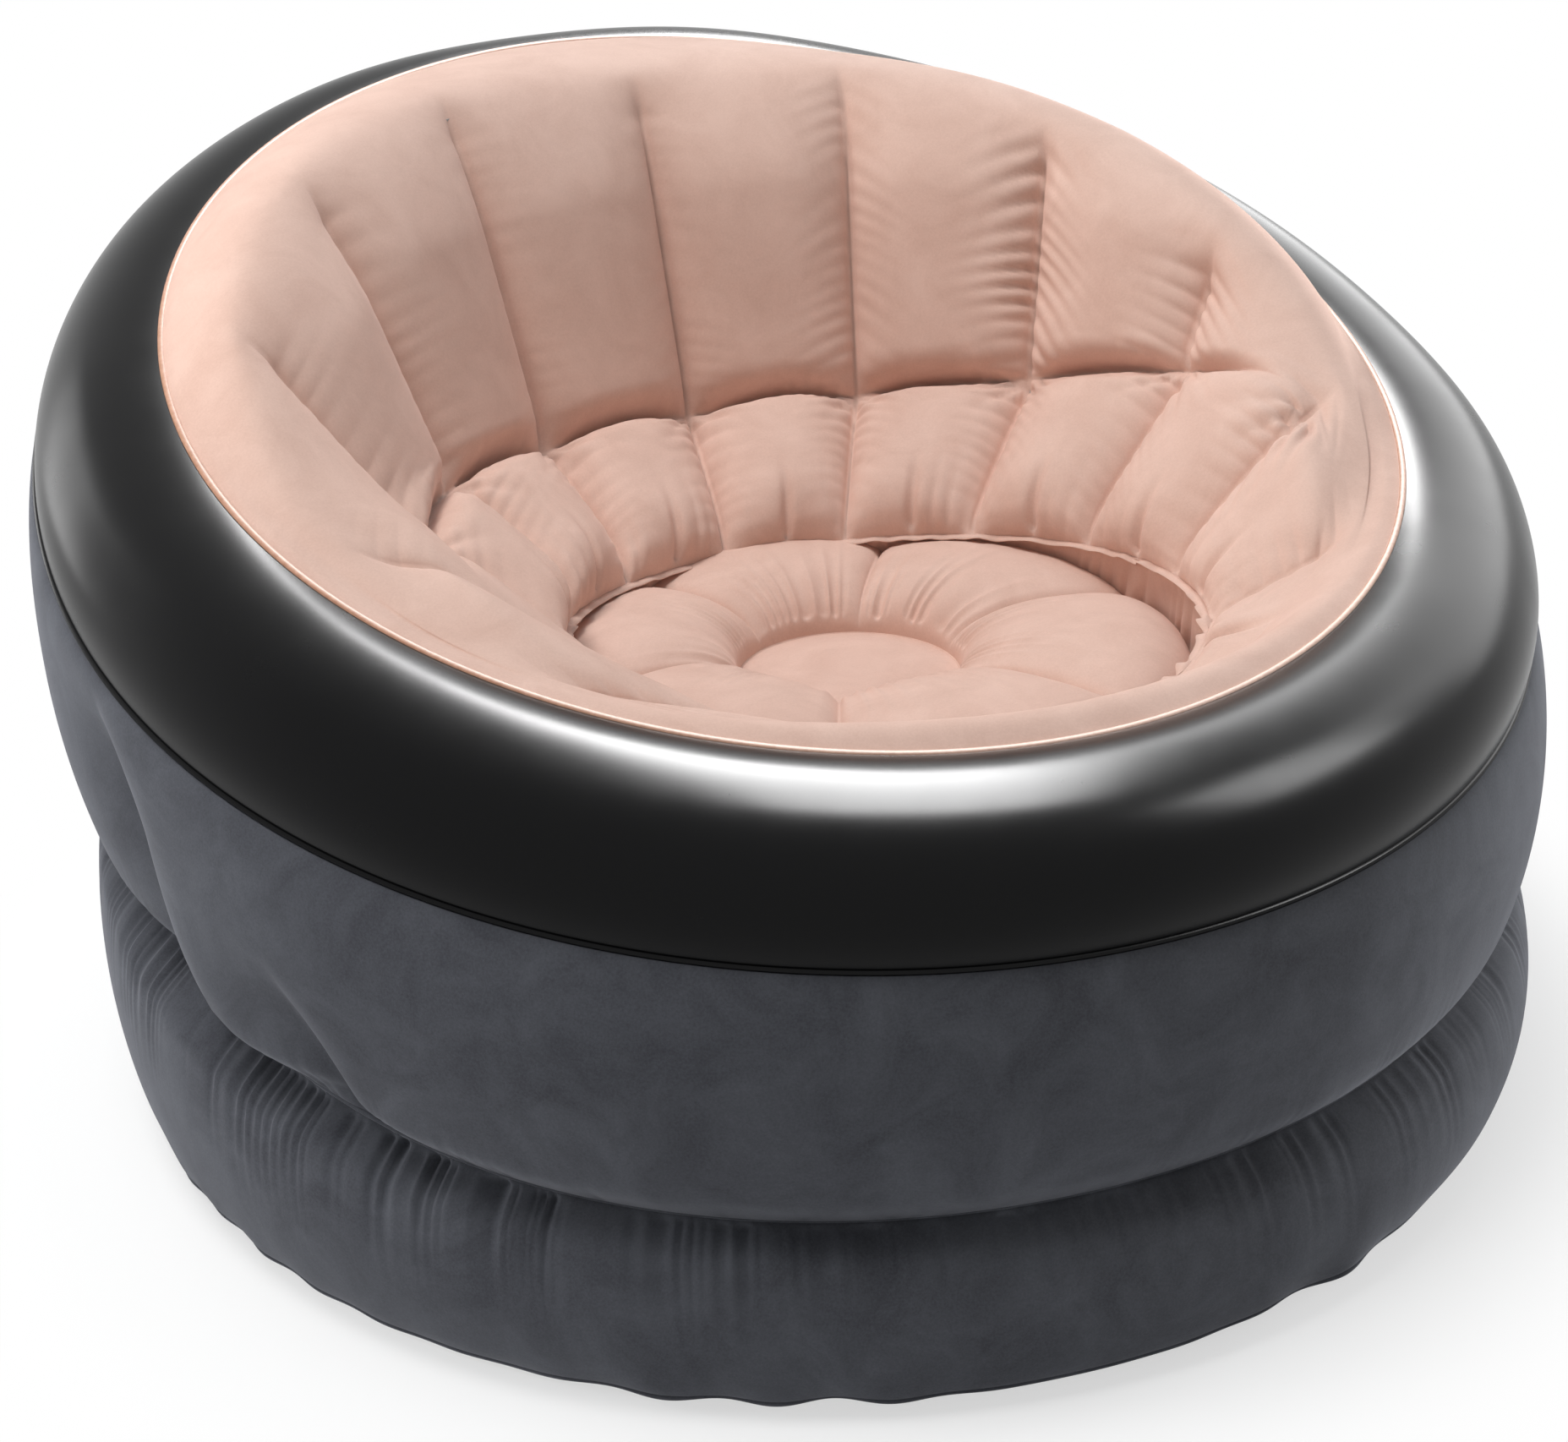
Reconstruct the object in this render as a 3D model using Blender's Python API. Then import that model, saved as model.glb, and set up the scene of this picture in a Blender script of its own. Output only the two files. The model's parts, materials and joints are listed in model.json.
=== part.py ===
"""Round inflatable tub chair, welded from flocked and glossy vinyl sheet.

Metres, +Z up.  The chair faces -Y and stands on z = 0, with the origin under
the middle of its outline.  Every panel is a sheet of its real thickness; the
panels meet at welded seams, and inner webs and ties hold the air-filled
shape.  A turn is an angle round the chair from the middle of the back,
positive towards +X.
"""

import math

import bmesh
import bpy
from mathutils import Matrix, Vector

# Sheet, seams and clearances
SHEET = 0.0005
WEB_SHEET = 0.0004
CLEARANCE = 0.0003
WEB_GAP = 0.0009
SEAM_RADIUS = 0.0025
INNER_SEAM_RADIUS = 0.002
CUT_OVERRUN = 0.02

# Divisions round the chair and round the seat
BACK_CELLS = 14
FACETS_PER_CELL = 4
SEAT_CELLS = 6
FACETS_PER_SEAT_CELL = 8
TUBE_FACETS = 24
VALVE_FACETS = 32

# Base: floor weld, side wall and waist
BASE_RADIUS = 0.530
BASE_FLAT_RADIUS = 0.504
FLOOR_SEAM_HEIGHT = 0.010
BASE_BULGE = 0.021
WAIST_FRONT_TUCK = 0.020
WAIST_BACK_STEP = 0.004
WAIST_SIDE_STEP = -0.002
WAIST_SHIFT = 0.012
WAIST_FRONT_HEIGHT = 0.120
WAIST_SIDE_HEIGHT = 0.212
WAIST_BACK_HEIGHT = 0.310
WAIST_SHOULDER = -0.0105

# Seam between the outer wall and the glossy band
SEAM_HALF_WIDTH = 0.542
SEAM_FRONT = 0.511
SEAM_BACK = 0.563
SEAM_SHIFT = 0.032
SEAM_FRONT_HEIGHT = 0.285
SEAM_SIDE_HEIGHT = 0.434
SEAM_BACK_HEIGHT = 0.679
SEAM_BACK_SAG = 0.030
WALL_BULGE = 0.020

# Soft dents in the outer wall, by the left front
DENT_DEPTH = 0.020
DENT_TURNS_DEG = (-121.0, -106.0)
DENT_HALF_TURN_DEG = 5.0

# Glossy band from that seam in to the rim
BAND_INSET = 0.0955
BAND_FRONT_RISE = 0.087
BAND_SIDE_RISE = 0.084
BAND_BACK_RISE = 0.013
BAND_FRONT_BULGE = 0.045
BAND_BACK_BULGE = 0.023

# Quilted liner: upper ends of the welds, lumbar crease and foot seam
PLATEAU_SIDE = 0.046
PLATEAU_BACK = 0.124
PLATEAU_FRONT = 0.025
PLATEAU_SHIFT = -0.042
PLATEAU_SIDE_DROP = 0.021
PLATEAU_BACK_DROP = 0.032
PLATEAU_FRONT_RISE = 0.002
PLATEAU_SHOULDER = -0.023
PLATEAU_QUARTER_RISE = 0.020
CREASE_HALF_WIDTH = 0.332
CREASE_FRONT = 0.368
CREASE_BACK = 0.257
CREASE_SHIFT = -0.075
CREASE_FRONT_HEIGHT = 0.362
CREASE_SIDE_HEIGHT = 0.446
CREASE_BACK_HEIGHT = 0.400
CREASE_SHOULDER = 0.012
CREASE_QUARTER_RISE = -0.045
CREASE_HALF_CELLS = 3
WEBBED_HALF_CELLS = 4
FOOT_HALF_WIDTH = 0.228
FOOT_FRONT = 0.345
FOOT_BACK = 0.111
FOOT_SHIFT = -0.125
FOOT_FRONT_HEIGHT = 0.345
FOOT_SIDE_HEIGHT = 0.348
FOOT_BACK_HEIGHT = 0.325
FOOT_TWIST_DEG = -7.0
FOOT_FLANGE_HEIGHT = 0.006
FOOT_FLANGE_THICKNESS = 0.0012
PUFF_HEIGHT = 0.036
WEB_DEPTH = 0.055

# Skirt under the liner, and the inflated seat inside it
SKIRT_HALF_WIDTH = 0.248
SKIRT_FRONT = 0.340
SKIRT_BACK = 0.180
SKIRT_SHIFT = -0.080
SKIRT_HEIGHT = 0.215
SKIRT_BULGE = 0.010
SEAT_RADIUS = 0.236
SEAT_SHIFT = -0.085
SEAT_EDGE_HEIGHT = 0.232
SEAT_DISC_RADIUS = 0.083
SEAT_DISC_SHIFT = -0.065
SEAT_DISC_HEIGHT = 0.283
SEAT_DISC_CROWN = 0.004
SEAT_PUFF = 0.034
SEAT_WEB_LOW = 0.205

# Valve in the back of the outer wall
VALVE_FACET = 2
VALVE_ROW = 1
VALVE_FLANGE_RADIUS = 0.0270
VALVE_FLANGE_THICKNESS = 0.0012
COLLAR_RADIUS = 0.0200
COLLAR_WALL = 0.0018
COLLAR_DEPTH = 0.0140
COLLAR_STAND = 0.0020
INSERT_BORE = 0.0100
INSERT_LENGTH = 0.0150
INSERT_RIM_RADIUS = 0.0225
INSERT_RIM_THICKNESS = 0.0030
INSERT_GRIP_RADIUS = 0.0025
INSERT_GRIPS = 8
GASKET_THICKNESS = 0.0012
FLAP_RADIUS = 0.0120
FLAP_THICKNESS = 0.0008
FLAP_TAIL = 0.0015
FLAP_TAIL_WIDTH = 0.0060
PLUG_GAP = 0.0004
PLUG_DEPTH = 0.0035
PLUG_TAPER = 0.0012
PLUG_CAP_RADIUS = 0.0135
PLUG_CAP_THICKNESS = 0.0018
PLUG_ARM_WIDTH = 0.0070
PLUG_TAB_REACH = 0.0045

# How far along a panel its rows lie, and how strongly each row is puffed
WALL_ROW_SHARES = (0.0, 0.22, 0.5, 0.78, 1.0)
BAND_ROW_SHARES = (0.0, 0.16, 0.33, 0.5, 0.67, 0.84, 1.0)
PILLOW_POWER_SHARE = 0.7
BAND_GROWTH_POWER_SHARE = 1.5
CELL_CROWN_SHARES = (0.0, 0.8, 1.0, 0.8)
SHORT_CELL_SHARE = 1.25
UPPER_ROW_SHARES = (0.35, 0.85)
UPPER_PUFF_SHARES = (0.85, 0.8)
CREASE_PUFF_SHARE = 0.12
LOWER_ROW_SHARES = (0.35, 0.8)
LOWER_PUFF_SHARES = (1.0, 0.8)
OPEN_CELL_PUFF_SHARE = 0.9
WEB_START_SHARE = 0.1
WEB_END_SHARE = 0.7
BACKING_END_SHARE = 0.9
SEAT_RADIUS_SHARES = (1.0, 0.91, 0.73, 0.47, 0.21, 0.06)
SEAT_VALLEY_SHARES = (0.0, 0.6, 0.92, 1.0, 1.0, 1.0)
SEAT_PUFF_SHARES = (0.15, 0.55, 0.9, 1.0, 0.7, 0.25)
SEAT_WEB_START_SHARE = 0.15
SEAT_CROWN_POWER_SHARE = 0.6
SEAT_SCALLOP_SHARE = 0.12

FULL_TURN = 2 * math.pi
RING_FACETS = BACK_CELLS * FACETS_PER_CELL
SEAT_FACETS = SEAT_CELLS * FACETS_PER_SEAT_CELL


# Materials

def make_material(name, colour, roughness):
    material = bpy.data.materials.new(name)
    material.use_nodes = True
    shader = material.node_tree.nodes["Principled BSDF"]
    shader.inputs["Base Color"].default_value = (*colour, 1.0)
    shader.inputs["Roughness"].default_value = roughness
    shader.inputs["Metallic"].default_value = 0.0
    material.diffuse_color = (*colour, 1.0)
    return material


# Curves round the chair

def make_ring(half_width, front, back, shift, front_height, side_height,
              back_height, shoulder=0.0, twist_deg=0.0, quarter_rise=0.0, back_sag=0.0):
    """A closed curve given by where it passes the front, the sides and the back.

    The shoulder bends its height between those, the twist turns it round the
    chair, the quarter rise lifts it between the sides and the front, and the
    back sag lowers it round the middle of the back alone.
    """
    lean = (back - front) / 2
    middle = (lean + shift) / 2
    skew = (lean - shift) / 2
    reach = (back + front) / 2
    ends = (front_height + back_height) / 2
    level = (ends + side_height) / 2
    sag = (ends - side_height) / 2
    tilt = (back_height - front_height) / 2 - shoulder
    twist = math.radians(twist_deg)

    def place(turn):
        angle = turn + twist
        quarter = math.sin(2 * angle) ** 2 if math.cos(angle) < 0 else 0.0
        return Vector((
            half_width * math.sin(angle),
            middle + reach * math.cos(angle) + skew * math.cos(2 * angle),
            level + tilt * math.cos(angle) + sag * math.cos(2 * angle)
            + shoulder * math.cos(3 * angle) + quarter_rise * quarter
            - back_sag * max(0.0, math.cos(angle)) ** 4))
    return place


floor_ring = make_ring(
    BASE_RADIUS, BASE_RADIUS, BASE_RADIUS, 0,
    FLOOR_SEAM_HEIGHT, FLOOR_SEAM_HEIGHT, FLOOR_SEAM_HEIGHT)
waist_ring = make_ring(
    BASE_RADIUS + WAIST_SIDE_STEP, BASE_RADIUS - WAIST_FRONT_TUCK,
    BASE_RADIUS + WAIST_BACK_STEP, WAIST_SHIFT,
    WAIST_FRONT_HEIGHT, WAIST_SIDE_HEIGHT, WAIST_BACK_HEIGHT, WAIST_SHOULDER)
seam_ring = make_ring(
    SEAM_HALF_WIDTH, SEAM_FRONT, SEAM_BACK, SEAM_SHIFT,
    SEAM_FRONT_HEIGHT, SEAM_SIDE_HEIGHT, SEAM_BACK_HEIGHT, 0, 0, 0, SEAM_BACK_SAG)
rim_ring = make_ring(
    SEAM_HALF_WIDTH - BAND_INSET, SEAM_FRONT - BAND_INSET,
    SEAM_BACK - BAND_INSET, SEAM_SHIFT,
    SEAM_FRONT_HEIGHT + BAND_FRONT_RISE, SEAM_SIDE_HEIGHT + BAND_SIDE_RISE,
    SEAM_BACK_HEIGHT + BAND_BACK_RISE)
plateau_ring = make_ring(
    SEAM_HALF_WIDTH - BAND_INSET - PLATEAU_SIDE,
    SEAM_FRONT - BAND_INSET - PLATEAU_FRONT,
    SEAM_BACK - BAND_INSET - PLATEAU_BACK, PLATEAU_SHIFT,
    SEAM_FRONT_HEIGHT + BAND_FRONT_RISE + PLATEAU_FRONT_RISE,
    SEAM_SIDE_HEIGHT + BAND_SIDE_RISE - PLATEAU_SIDE_DROP,
    SEAM_BACK_HEIGHT + BAND_BACK_RISE - PLATEAU_BACK_DROP, PLATEAU_SHOULDER, 0,
    PLATEAU_QUARTER_RISE)
crease_ring = make_ring(
    CREASE_HALF_WIDTH, CREASE_FRONT, CREASE_BACK, CREASE_SHIFT,
    CREASE_FRONT_HEIGHT, CREASE_SIDE_HEIGHT, CREASE_BACK_HEIGHT, CREASE_SHOULDER, 0,
    CREASE_QUARTER_RISE)
foot_ring = make_ring(
    FOOT_HALF_WIDTH, FOOT_FRONT, FOOT_BACK, FOOT_SHIFT,
    FOOT_FRONT_HEIGHT, FOOT_SIDE_HEIGHT, FOOT_BACK_HEIGHT, 0, FOOT_TWIST_DEG)
skirt_ring = make_ring(
    SKIRT_HALF_WIDTH, SKIRT_FRONT, SKIRT_BACK, SKIRT_SHIFT,
    SKIRT_HEIGHT, SKIRT_HEIGHT, SKIRT_HEIGHT, 0, FOOT_TWIST_DEG)
disc_ring = make_ring(
    SEAT_DISC_RADIUS, SEAT_DISC_RADIUS - SEAT_DISC_SHIFT,
    SEAT_DISC_RADIUS + SEAT_DISC_SHIFT, SEAT_DISC_SHIFT,
    SEAT_DISC_HEIGHT, SEAT_DISC_HEIGHT, SEAT_DISC_HEIGHT)


def turn_of(index, facets=RING_FACETS):
    return FULL_TURN * index / facets


def across(ring, turn):
    """Level direction that points squarely out from a ring."""
    step = turn_of(1) / 2
    along = ring(turn + step) - ring(turn - step)
    return Vector((along.y, -along.x, 0)).normalized() * -1


def swell(start, finish, side, share, height):
    """Point at a share of the way between two points, lifted to one side."""
    return start.lerp(finish, share) + side * height


def bulge_side(upper, lower, turn):
    """Outward direction square to a panel that runs between two rings."""
    chord = upper(turn) - lower(turn)
    outward = across(lower, turn)
    return (outward - chord * (outward.dot(chord) / chord.length_squared)).normalized()


def drawn_back(ring, turn, towards, distance):
    """The point of a ring at a turn, drawn back squarely towards another point."""
    step = turn_of(1) / 2
    along = (ring(turn + step) - ring(turn - step)).normalized()
    side = towards - ring(turn)
    return ring(turn) + (side - along * side.dot(along)).normalized() * distance


def trimmed(line, start, finish):
    """A line of points with both of its ends drawn back."""
    first = line[0] + (line[1] - line[0]).normalized() * start
    last = line[-1] + (line[-2] - line[-1]).normalized() * finish
    return [first, *line[1:-1], last]


# Mesh builders

def add_object(name, mesh, material, sharp_deg=40.0):
    mesh.materials.append(material)
    mesh.shade_smooth()
    mesh.set_sharp_from_angle(angle=math.radians(sharp_deg))
    piece = bpy.data.objects.new(name, mesh)
    bpy.context.scene.collection.objects.link(piece)
    return piece


def mesh_from(name, vertices, faces):
    mesh = bpy.data.meshes.new(name)
    mesh.from_pydata(vertices, [], faces)
    mesh.update()
    return mesh


def thicken(piece, thickness, offset=-1.0):
    solid = piece.modifiers.new("Sheet", "SOLIDIFY")
    solid.thickness = thickness
    solid.offset = offset
    solid.use_even_offset = True
    solid.use_rim = True
    return piece


def sheet_panel(name, columns, material, windows=(), cap=None):
    """A closed ring of sheet through columns of points.

    Its visible side faces outwards where the columns run upwards.  The first
    or the last row can be closed with a flat cap, and windows are left open.
    """
    rows = len(columns[0])
    count = len(columns)
    vertices = [point for column in columns for point in column]
    faces = []
    for i in range(count):
        following = (i + 1) % count
        for row in range(rows - 1):
            if (i, row) not in windows:
                faces.append((i * rows + row, i * rows + row + 1,
                              following * rows + row + 1, following * rows + row))
    if cap == "first":
        faces.append(tuple(i * rows for i in range(count)))
    if cap == "last":
        faces.append(tuple(i * rows + rows - 1 for i in reversed(range(count))))
    return thicken(add_object(name, mesh_from(name, vertices, faces), material), SHEET)


def seam_strip(name, ring, section, material, facets=RING_FACETS):
    """A welded seam: a section, given as (out, up), swept round a ring."""
    sides = len(section)
    vertices = []
    for i in range(facets):
        turn = turn_of(i, facets)
        outward = across(ring, turn)
        vertices.extend(ring(turn) + outward * out + Vector((0, 0, up))
                        for out, up in section)
    faces = []
    for i in range(facets):
        following = (i + 1) % facets
        for side in range(sides):
            after = (side + 1) % sides
            faces.append((i * sides + side, i * sides + after,
                          following * sides + after, following * sides + side))
    return add_object(name, mesh_from(name, vertices, faces), material)


def round_section(radius, sides):
    return [(radius * math.cos(turn_of(i, sides)), radius * math.sin(turn_of(i, sides)))
            for i in range(sides)]


def strip_piece(name, upper, lower, material):
    """A thin web between an upper and a lower row of points."""
    count = len(upper)
    faces = [(i, i + 1, count + i + 1, count + i) for i in range(count - 1)]
    piece = add_object(name, mesh_from(name, [*upper, *lower], faces), material)
    return thicken(piece, WEB_SHEET, offset=0.0)


def ring_columns(column_at, first_ring, last_ring, start, finish):
    """Columns of a panel between two seams, each end drawn back from its seam."""
    columns = []
    for i in range(RING_FACETS):
        turn = turn_of(i)
        column = column_at(turn)
        first = drawn_back(first_ring, turn, column[1], start)
        last = drawn_back(last_ring, turn, column[-2], finish)
        columns.append([first, *column[1:-1], last])
    return columns


# Outer panels

def pillow(share):
    return math.sin(math.pi * share) ** PILLOW_POWER_SHARE


def base_column(turn):
    """The base's side wall from the floor up to the waist."""
    side = bulge_side(waist_ring, floor_ring, turn)
    return [swell(floor_ring(turn), waist_ring(turn), side, share, BASE_BULGE * pillow(share))
            for share in WALL_ROW_SHARES]


def wall_column(turn):
    """The outer wall from the waist up to the band, with its soft dents."""
    side = bulge_side(seam_ring, waist_ring, turn)
    column = []
    for share in WALL_ROW_SHARES:
        height = WALL_BULGE * pillow(share)
        for dent_deg in DENT_TURNS_DEG:
            away = (math.degrees(turn) - dent_deg + 180.0) % 360.0 - 180.0
            near = math.exp(-(away / DENT_HALF_TURN_DEG) ** 2)
            height -= DENT_DEPTH * near * math.sin(math.pi * share)
        column.append(swell(waist_ring(turn), seam_ring(turn), side, share, height))
    return column


def band_column(turn):
    """The glossy band, a round arc from the seam over to the rim."""
    start = seam_ring(turn)
    finish = rim_ring(turn)
    side = bulge_side(rim_ring, seam_ring, turn)
    half = (finish - start).length / 2
    to_front = ((1 - math.cos(turn)) / 2) ** BAND_GROWTH_POWER_SHARE
    bulge = BAND_BACK_BULGE + (BAND_FRONT_BULGE - BAND_BACK_BULGE) * to_front
    radius = (half ** 2 + bulge ** 2) / (2 * bulge)
    sweep = 2 * math.atan2(bulge, half)
    column = []
    for share in BAND_ROW_SHARES:
        angle = sweep * (2 * share - 1)
        along = (1 + radius * math.sin(angle) / half) / 2
        lift = radius * math.cos(angle) - (radius - bulge)
        column.append(swell(start, finish, side, along, lift))
    return column


def bottom_column(turn):
    """The bottom sheet from its flat part out to the floor weld."""
    edge = floor_ring(turn)
    outward = Vector((edge.x, edge.y, 0)).normalized()
    knee = outward * ((BASE_FLAT_RADIUS + BASE_RADIUS) / 2)
    return [outward * BASE_FLAT_RADIUS, knee + Vector((0, 0, FLOOR_SEAM_HEIGHT / 4)), edge]


def make_outer_panels(black, gloss, tan):
    """Everything that shows from outside, from the floor up to the rim."""
    end = SEAM_RADIUS + CLEARANCE
    bottom = [trimmed(bottom_column(turn_of(i)), 0, end) for i in range(RING_FACETS)]
    sheet_panel("bottom_panel", bottom, black, cap="first")
    seam_strip("floor_weld", floor_ring, round_section(SEAM_RADIUS, 4), black)
    base_columns = ring_columns(base_column, floor_ring, waist_ring, end, end)
    sheet_panel("base_side_wall", base_columns, black)
    seam_strip("waist_weld", waist_ring, round_section(SEAM_RADIUS, 4), black)
    wall_columns = ring_columns(wall_column, waist_ring, seam_ring, end, end)
    wall = sheet_panel("outer_wall", wall_columns, black)
    seam_strip("band_weld", seam_ring, round_section(SEAM_RADIUS, 6), gloss)
    band_columns = ring_columns(band_column, seam_ring, rim_ring, end, end)
    sheet_panel("glossy_band", band_columns, gloss)
    seam_strip("rim_weld", rim_ring, round_section(SEAM_RADIUS, 6), tan)
    return wall


# Quilted liner, and the ties behind it

def liner_line(turn):
    """The liner along one turn where no cell puffs it: rim, upper end of the
    welds, rows down to the crease, and rows on down to the foot seam."""
    plateau, crease, foot = plateau_ring(turn), crease_ring(turn), foot_ring(turn)
    upper = [plateau.lerp(crease, share) for share in UPPER_ROW_SHARES]
    lower = [crease.lerp(foot, share) for share in LOWER_ROW_SHARES]
    return [rim_ring(turn), plateau, *upper, crease, *lower, foot]


def line_length(line):
    return sum((after - before).length for before, after in zip(line, line[1:]))


def slack(turn):
    """How long the quilted part is here, as a share of its length at the back."""
    return line_length(liner_line(turn)[1:]) / line_length(liner_line(0)[1:])


def bowl_sides(turn):
    """For each row of the liner, the direction square to it, into the bowl."""
    line = liner_line(turn)
    step = turn_of(1) / 2
    before, after = liner_line(turn - step), liner_line(turn + step)
    sides = []
    for row in range(len(line)):
        down = line[min(row + 1, len(line) - 1)] - line[max(row - 1, 0)]
        sides.append(down.cross(after[row] - before[row]).normalized())
    return sides


def crease_share(cell_turn):
    """Puff along the crease row: drawn in behind the sitter, open elsewhere."""
    edge = CREASE_HALF_CELLS * FULL_TURN / BACK_CELLS
    away = abs((cell_turn + math.pi) % FULL_TURN - math.pi)
    return CREASE_PUFF_SHARE if away < edge else OPEN_CELL_PUFF_SHARE


def liner_column(index):
    """One column of the liner with the puff of the cell that it crosses."""
    turn = turn_of(index)
    crown = CELL_CROWN_SHARES[index % FACETS_PER_CELL]
    height = PUFF_HEIGHT * crown * min(1.0, SHORT_CELL_SHARE * slack(turn))
    shares = (0, 0, *UPPER_PUFF_SHARES, crease_share(turn), *LOWER_PUFF_SHARES, 0)
    return [point + side * (height * share)
            for point, side, share in zip(liner_line(turn), bowl_sides(turn), shares)]


def backing_line(turn):
    """Bowl side of the backing sheet: it leaves the liner at the upper end of
    the welds, stands off behind the cells and meets the liner near its foot."""
    line = liner_line(turn)
    sides = bowl_sides(turn)
    depth = WEB_DEPTH * slack(turn)
    touch = 2 * SHEET + WEB_GAP
    last = line[4].lerp(line[-1], BACKING_END_SHARE)
    return [line[1] - sides[1] * touch, line[2] - sides[2] * depth,
            line[4] - sides[4] * depth, last - sides[-1] * touch]


def weld_rows(turn):
    """Upper and lower edges of the web behind one weld of the liner."""
    line = liner_line(turn)
    sides = bowl_sides(turn)
    back = backing_line(turn)
    start = WEB_START_SHARE / UPPER_ROW_SHARES[0]
    drop = ((UPPER_ROW_SHARES[1] - UPPER_ROW_SHARES[0]) / (1 - UPPER_ROW_SHARES[0]))
    steps = [LOWER_ROW_SHARES[0], WEB_END_SHARE]
    ends = [share / BACKING_END_SHARE for share in steps]
    upper = [line[1].lerp(line[2], start), *line[2:5],
             *[line[4].lerp(line[-1], share) for share in steps]]
    lower = [back[0].lerp(back[1], start), back[1], back[1].lerp(back[2], drop), back[2],
             back[2].lerp(back[3], ends[0]), back[2].lerp(back[3], ends[1])]
    facing = [sides[2], *sides[2:7]]
    hang = 2 * SHEET + CLEARANCE
    return ([point - side * hang for point, side in zip(upper, facing)],
            [point + side * (WEB_GAP) for point, side in zip(lower, facing)])


def make_liner(peach, tan, inner):
    """The quilted sheet of the bowl, its foot seam, webs, ties and backing."""
    half_flange = FOOT_FLANGE_THICKNESS / 2
    columns = []
    for i in range(RING_FACETS):
        column = liner_column(i)
        column[0] = drawn_back(rim_ring, turn_of(i), column[1], SEAM_RADIUS + CLEARANCE)
        column[-1] += across(foot_ring, turn_of(i)) * (half_flange + WEB_GAP)
        columns.append(column)
    sheet_panel("quilted_liner", columns, peach)
    section = [(half_flange, 0), (half_flange / 2, FOOT_FLANGE_HEIGHT),
               (-half_flange / 2, FOOT_FLANGE_HEIGHT), (-half_flange, 0)]
    seam_strip("liner_foot_weld", foot_ring, section, tan)

    backing = [backing_line(turn_of(i)) for i in range(RING_FACETS)]
    windows = [(i, 1) for i in range(FACETS_PER_CELL // 2, RING_FACETS, 2 * FACETS_PER_CELL)]
    sheet_panel("liner_backing_sheet", backing, inner, windows=windows)
    for cell in range(-WEBBED_HALF_CELLS, WEBBED_HALF_CELLS + 1):
        upper, lower = weld_rows(turn_of(cell * FACETS_PER_CELL))
        strip_piece(f"back_web_{cell + WEBBED_HALF_CELLS + 1:02d}", upper, lower, inner)
    for cell in range(-CREASE_HALF_CELLS, CREASE_HALF_CELLS):
        make_lumbar_tie(cell, inner)


def make_lumbar_tie(cell, material):
    """A tie from the crease to the backing sheet, between two webs."""
    first = cell * FACETS_PER_CELL
    hang = 2 * SHEET + CLEARANCE
    upper, lower = [], []
    for i in range(first, first + FACETS_PER_CELL + 1):
        turn = turn_of(i)
        side = bowl_sides(turn)[4]
        upper.append(liner_column(i % RING_FACETS)[4] - side * hang)
        lower.append(backing_line(turn)[2] + side * (WEB_GAP))
    end = WEB_SHEET / 2 + CLEARANCE
    name = f"lumbar_tie_{cell + CREASE_HALF_CELLS + 1}"
    strip_piece(name, trimmed(upper, end, end), trimmed(lower, end, end), material)


# Skirt, waist tie and seat

def skirt_column(turn):
    top, low = foot_ring(turn), skirt_ring(turn)
    middle = top.lerp(low, 0.5) + across(skirt_ring, turn) * SKIRT_BULGE
    return [top, middle, low]


def waist_tie_column(turn):
    inner, outer = skirt_ring(turn), waist_ring(turn)
    return [inner, inner.lerp(outer, 1 / 3), inner.lerp(outer, 2 / 3), outer]


def seat_column(index):
    """The seat's ring from the foot of the skirt in to its centre disc."""
    turn = turn_of(index, SEAT_FACETS)
    first_weld = FACETS_PER_SEAT_CELL // 2
    across_cell = ((index - first_weld) % FACETS_PER_SEAT_CELL) / FACETS_PER_SEAT_CELL
    crown = math.sin(math.pi * across_cell) ** SEAT_CROWN_POWER_SHARE
    edge = skirt_ring(turn - math.radians(FOOT_TWIST_DEG))
    column = [edge]
    for radius_share, valley_share, puff_share in zip(
            SEAT_RADIUS_SHARES, SEAT_VALLEY_SHARES, SEAT_PUFF_SHARES):
        radius = SEAT_DISC_RADIUS + (SEAT_RADIUS - SEAT_DISC_RADIUS) * radius_share
        radius -= SEAT_PUFF * SEAT_SCALLOP_SHARE * (1 - crown) * radius_share
        shift = SEAT_DISC_SHIFT + (SEAT_SHIFT - SEAT_DISC_SHIFT) * radius_share
        valley = SEAT_EDGE_HEIGHT + (SEAT_DISC_HEIGHT - SEAT_EDGE_HEIGHT) * valley_share
        column.append(Vector((radius * math.sin(turn), shift + radius * math.cos(turn),
                              valley + SEAT_PUFF * crown * puff_share)))
    column.append(disc_ring(turn))
    return column


def disc_column(turn):
    edge = disc_ring(turn)
    middle = Vector((0, SEAT_DISC_SHIFT, SEAT_DISC_HEIGHT))
    return [edge, edge.lerp(middle, 1 / 3) + Vector((0, 0, SEAT_DISC_CROWN))]


def chord_sag(radius, facets):
    """How far the middle of a facet lies inside the circle through its ends."""
    return radius * (1 - math.cos(math.pi / facets))


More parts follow.
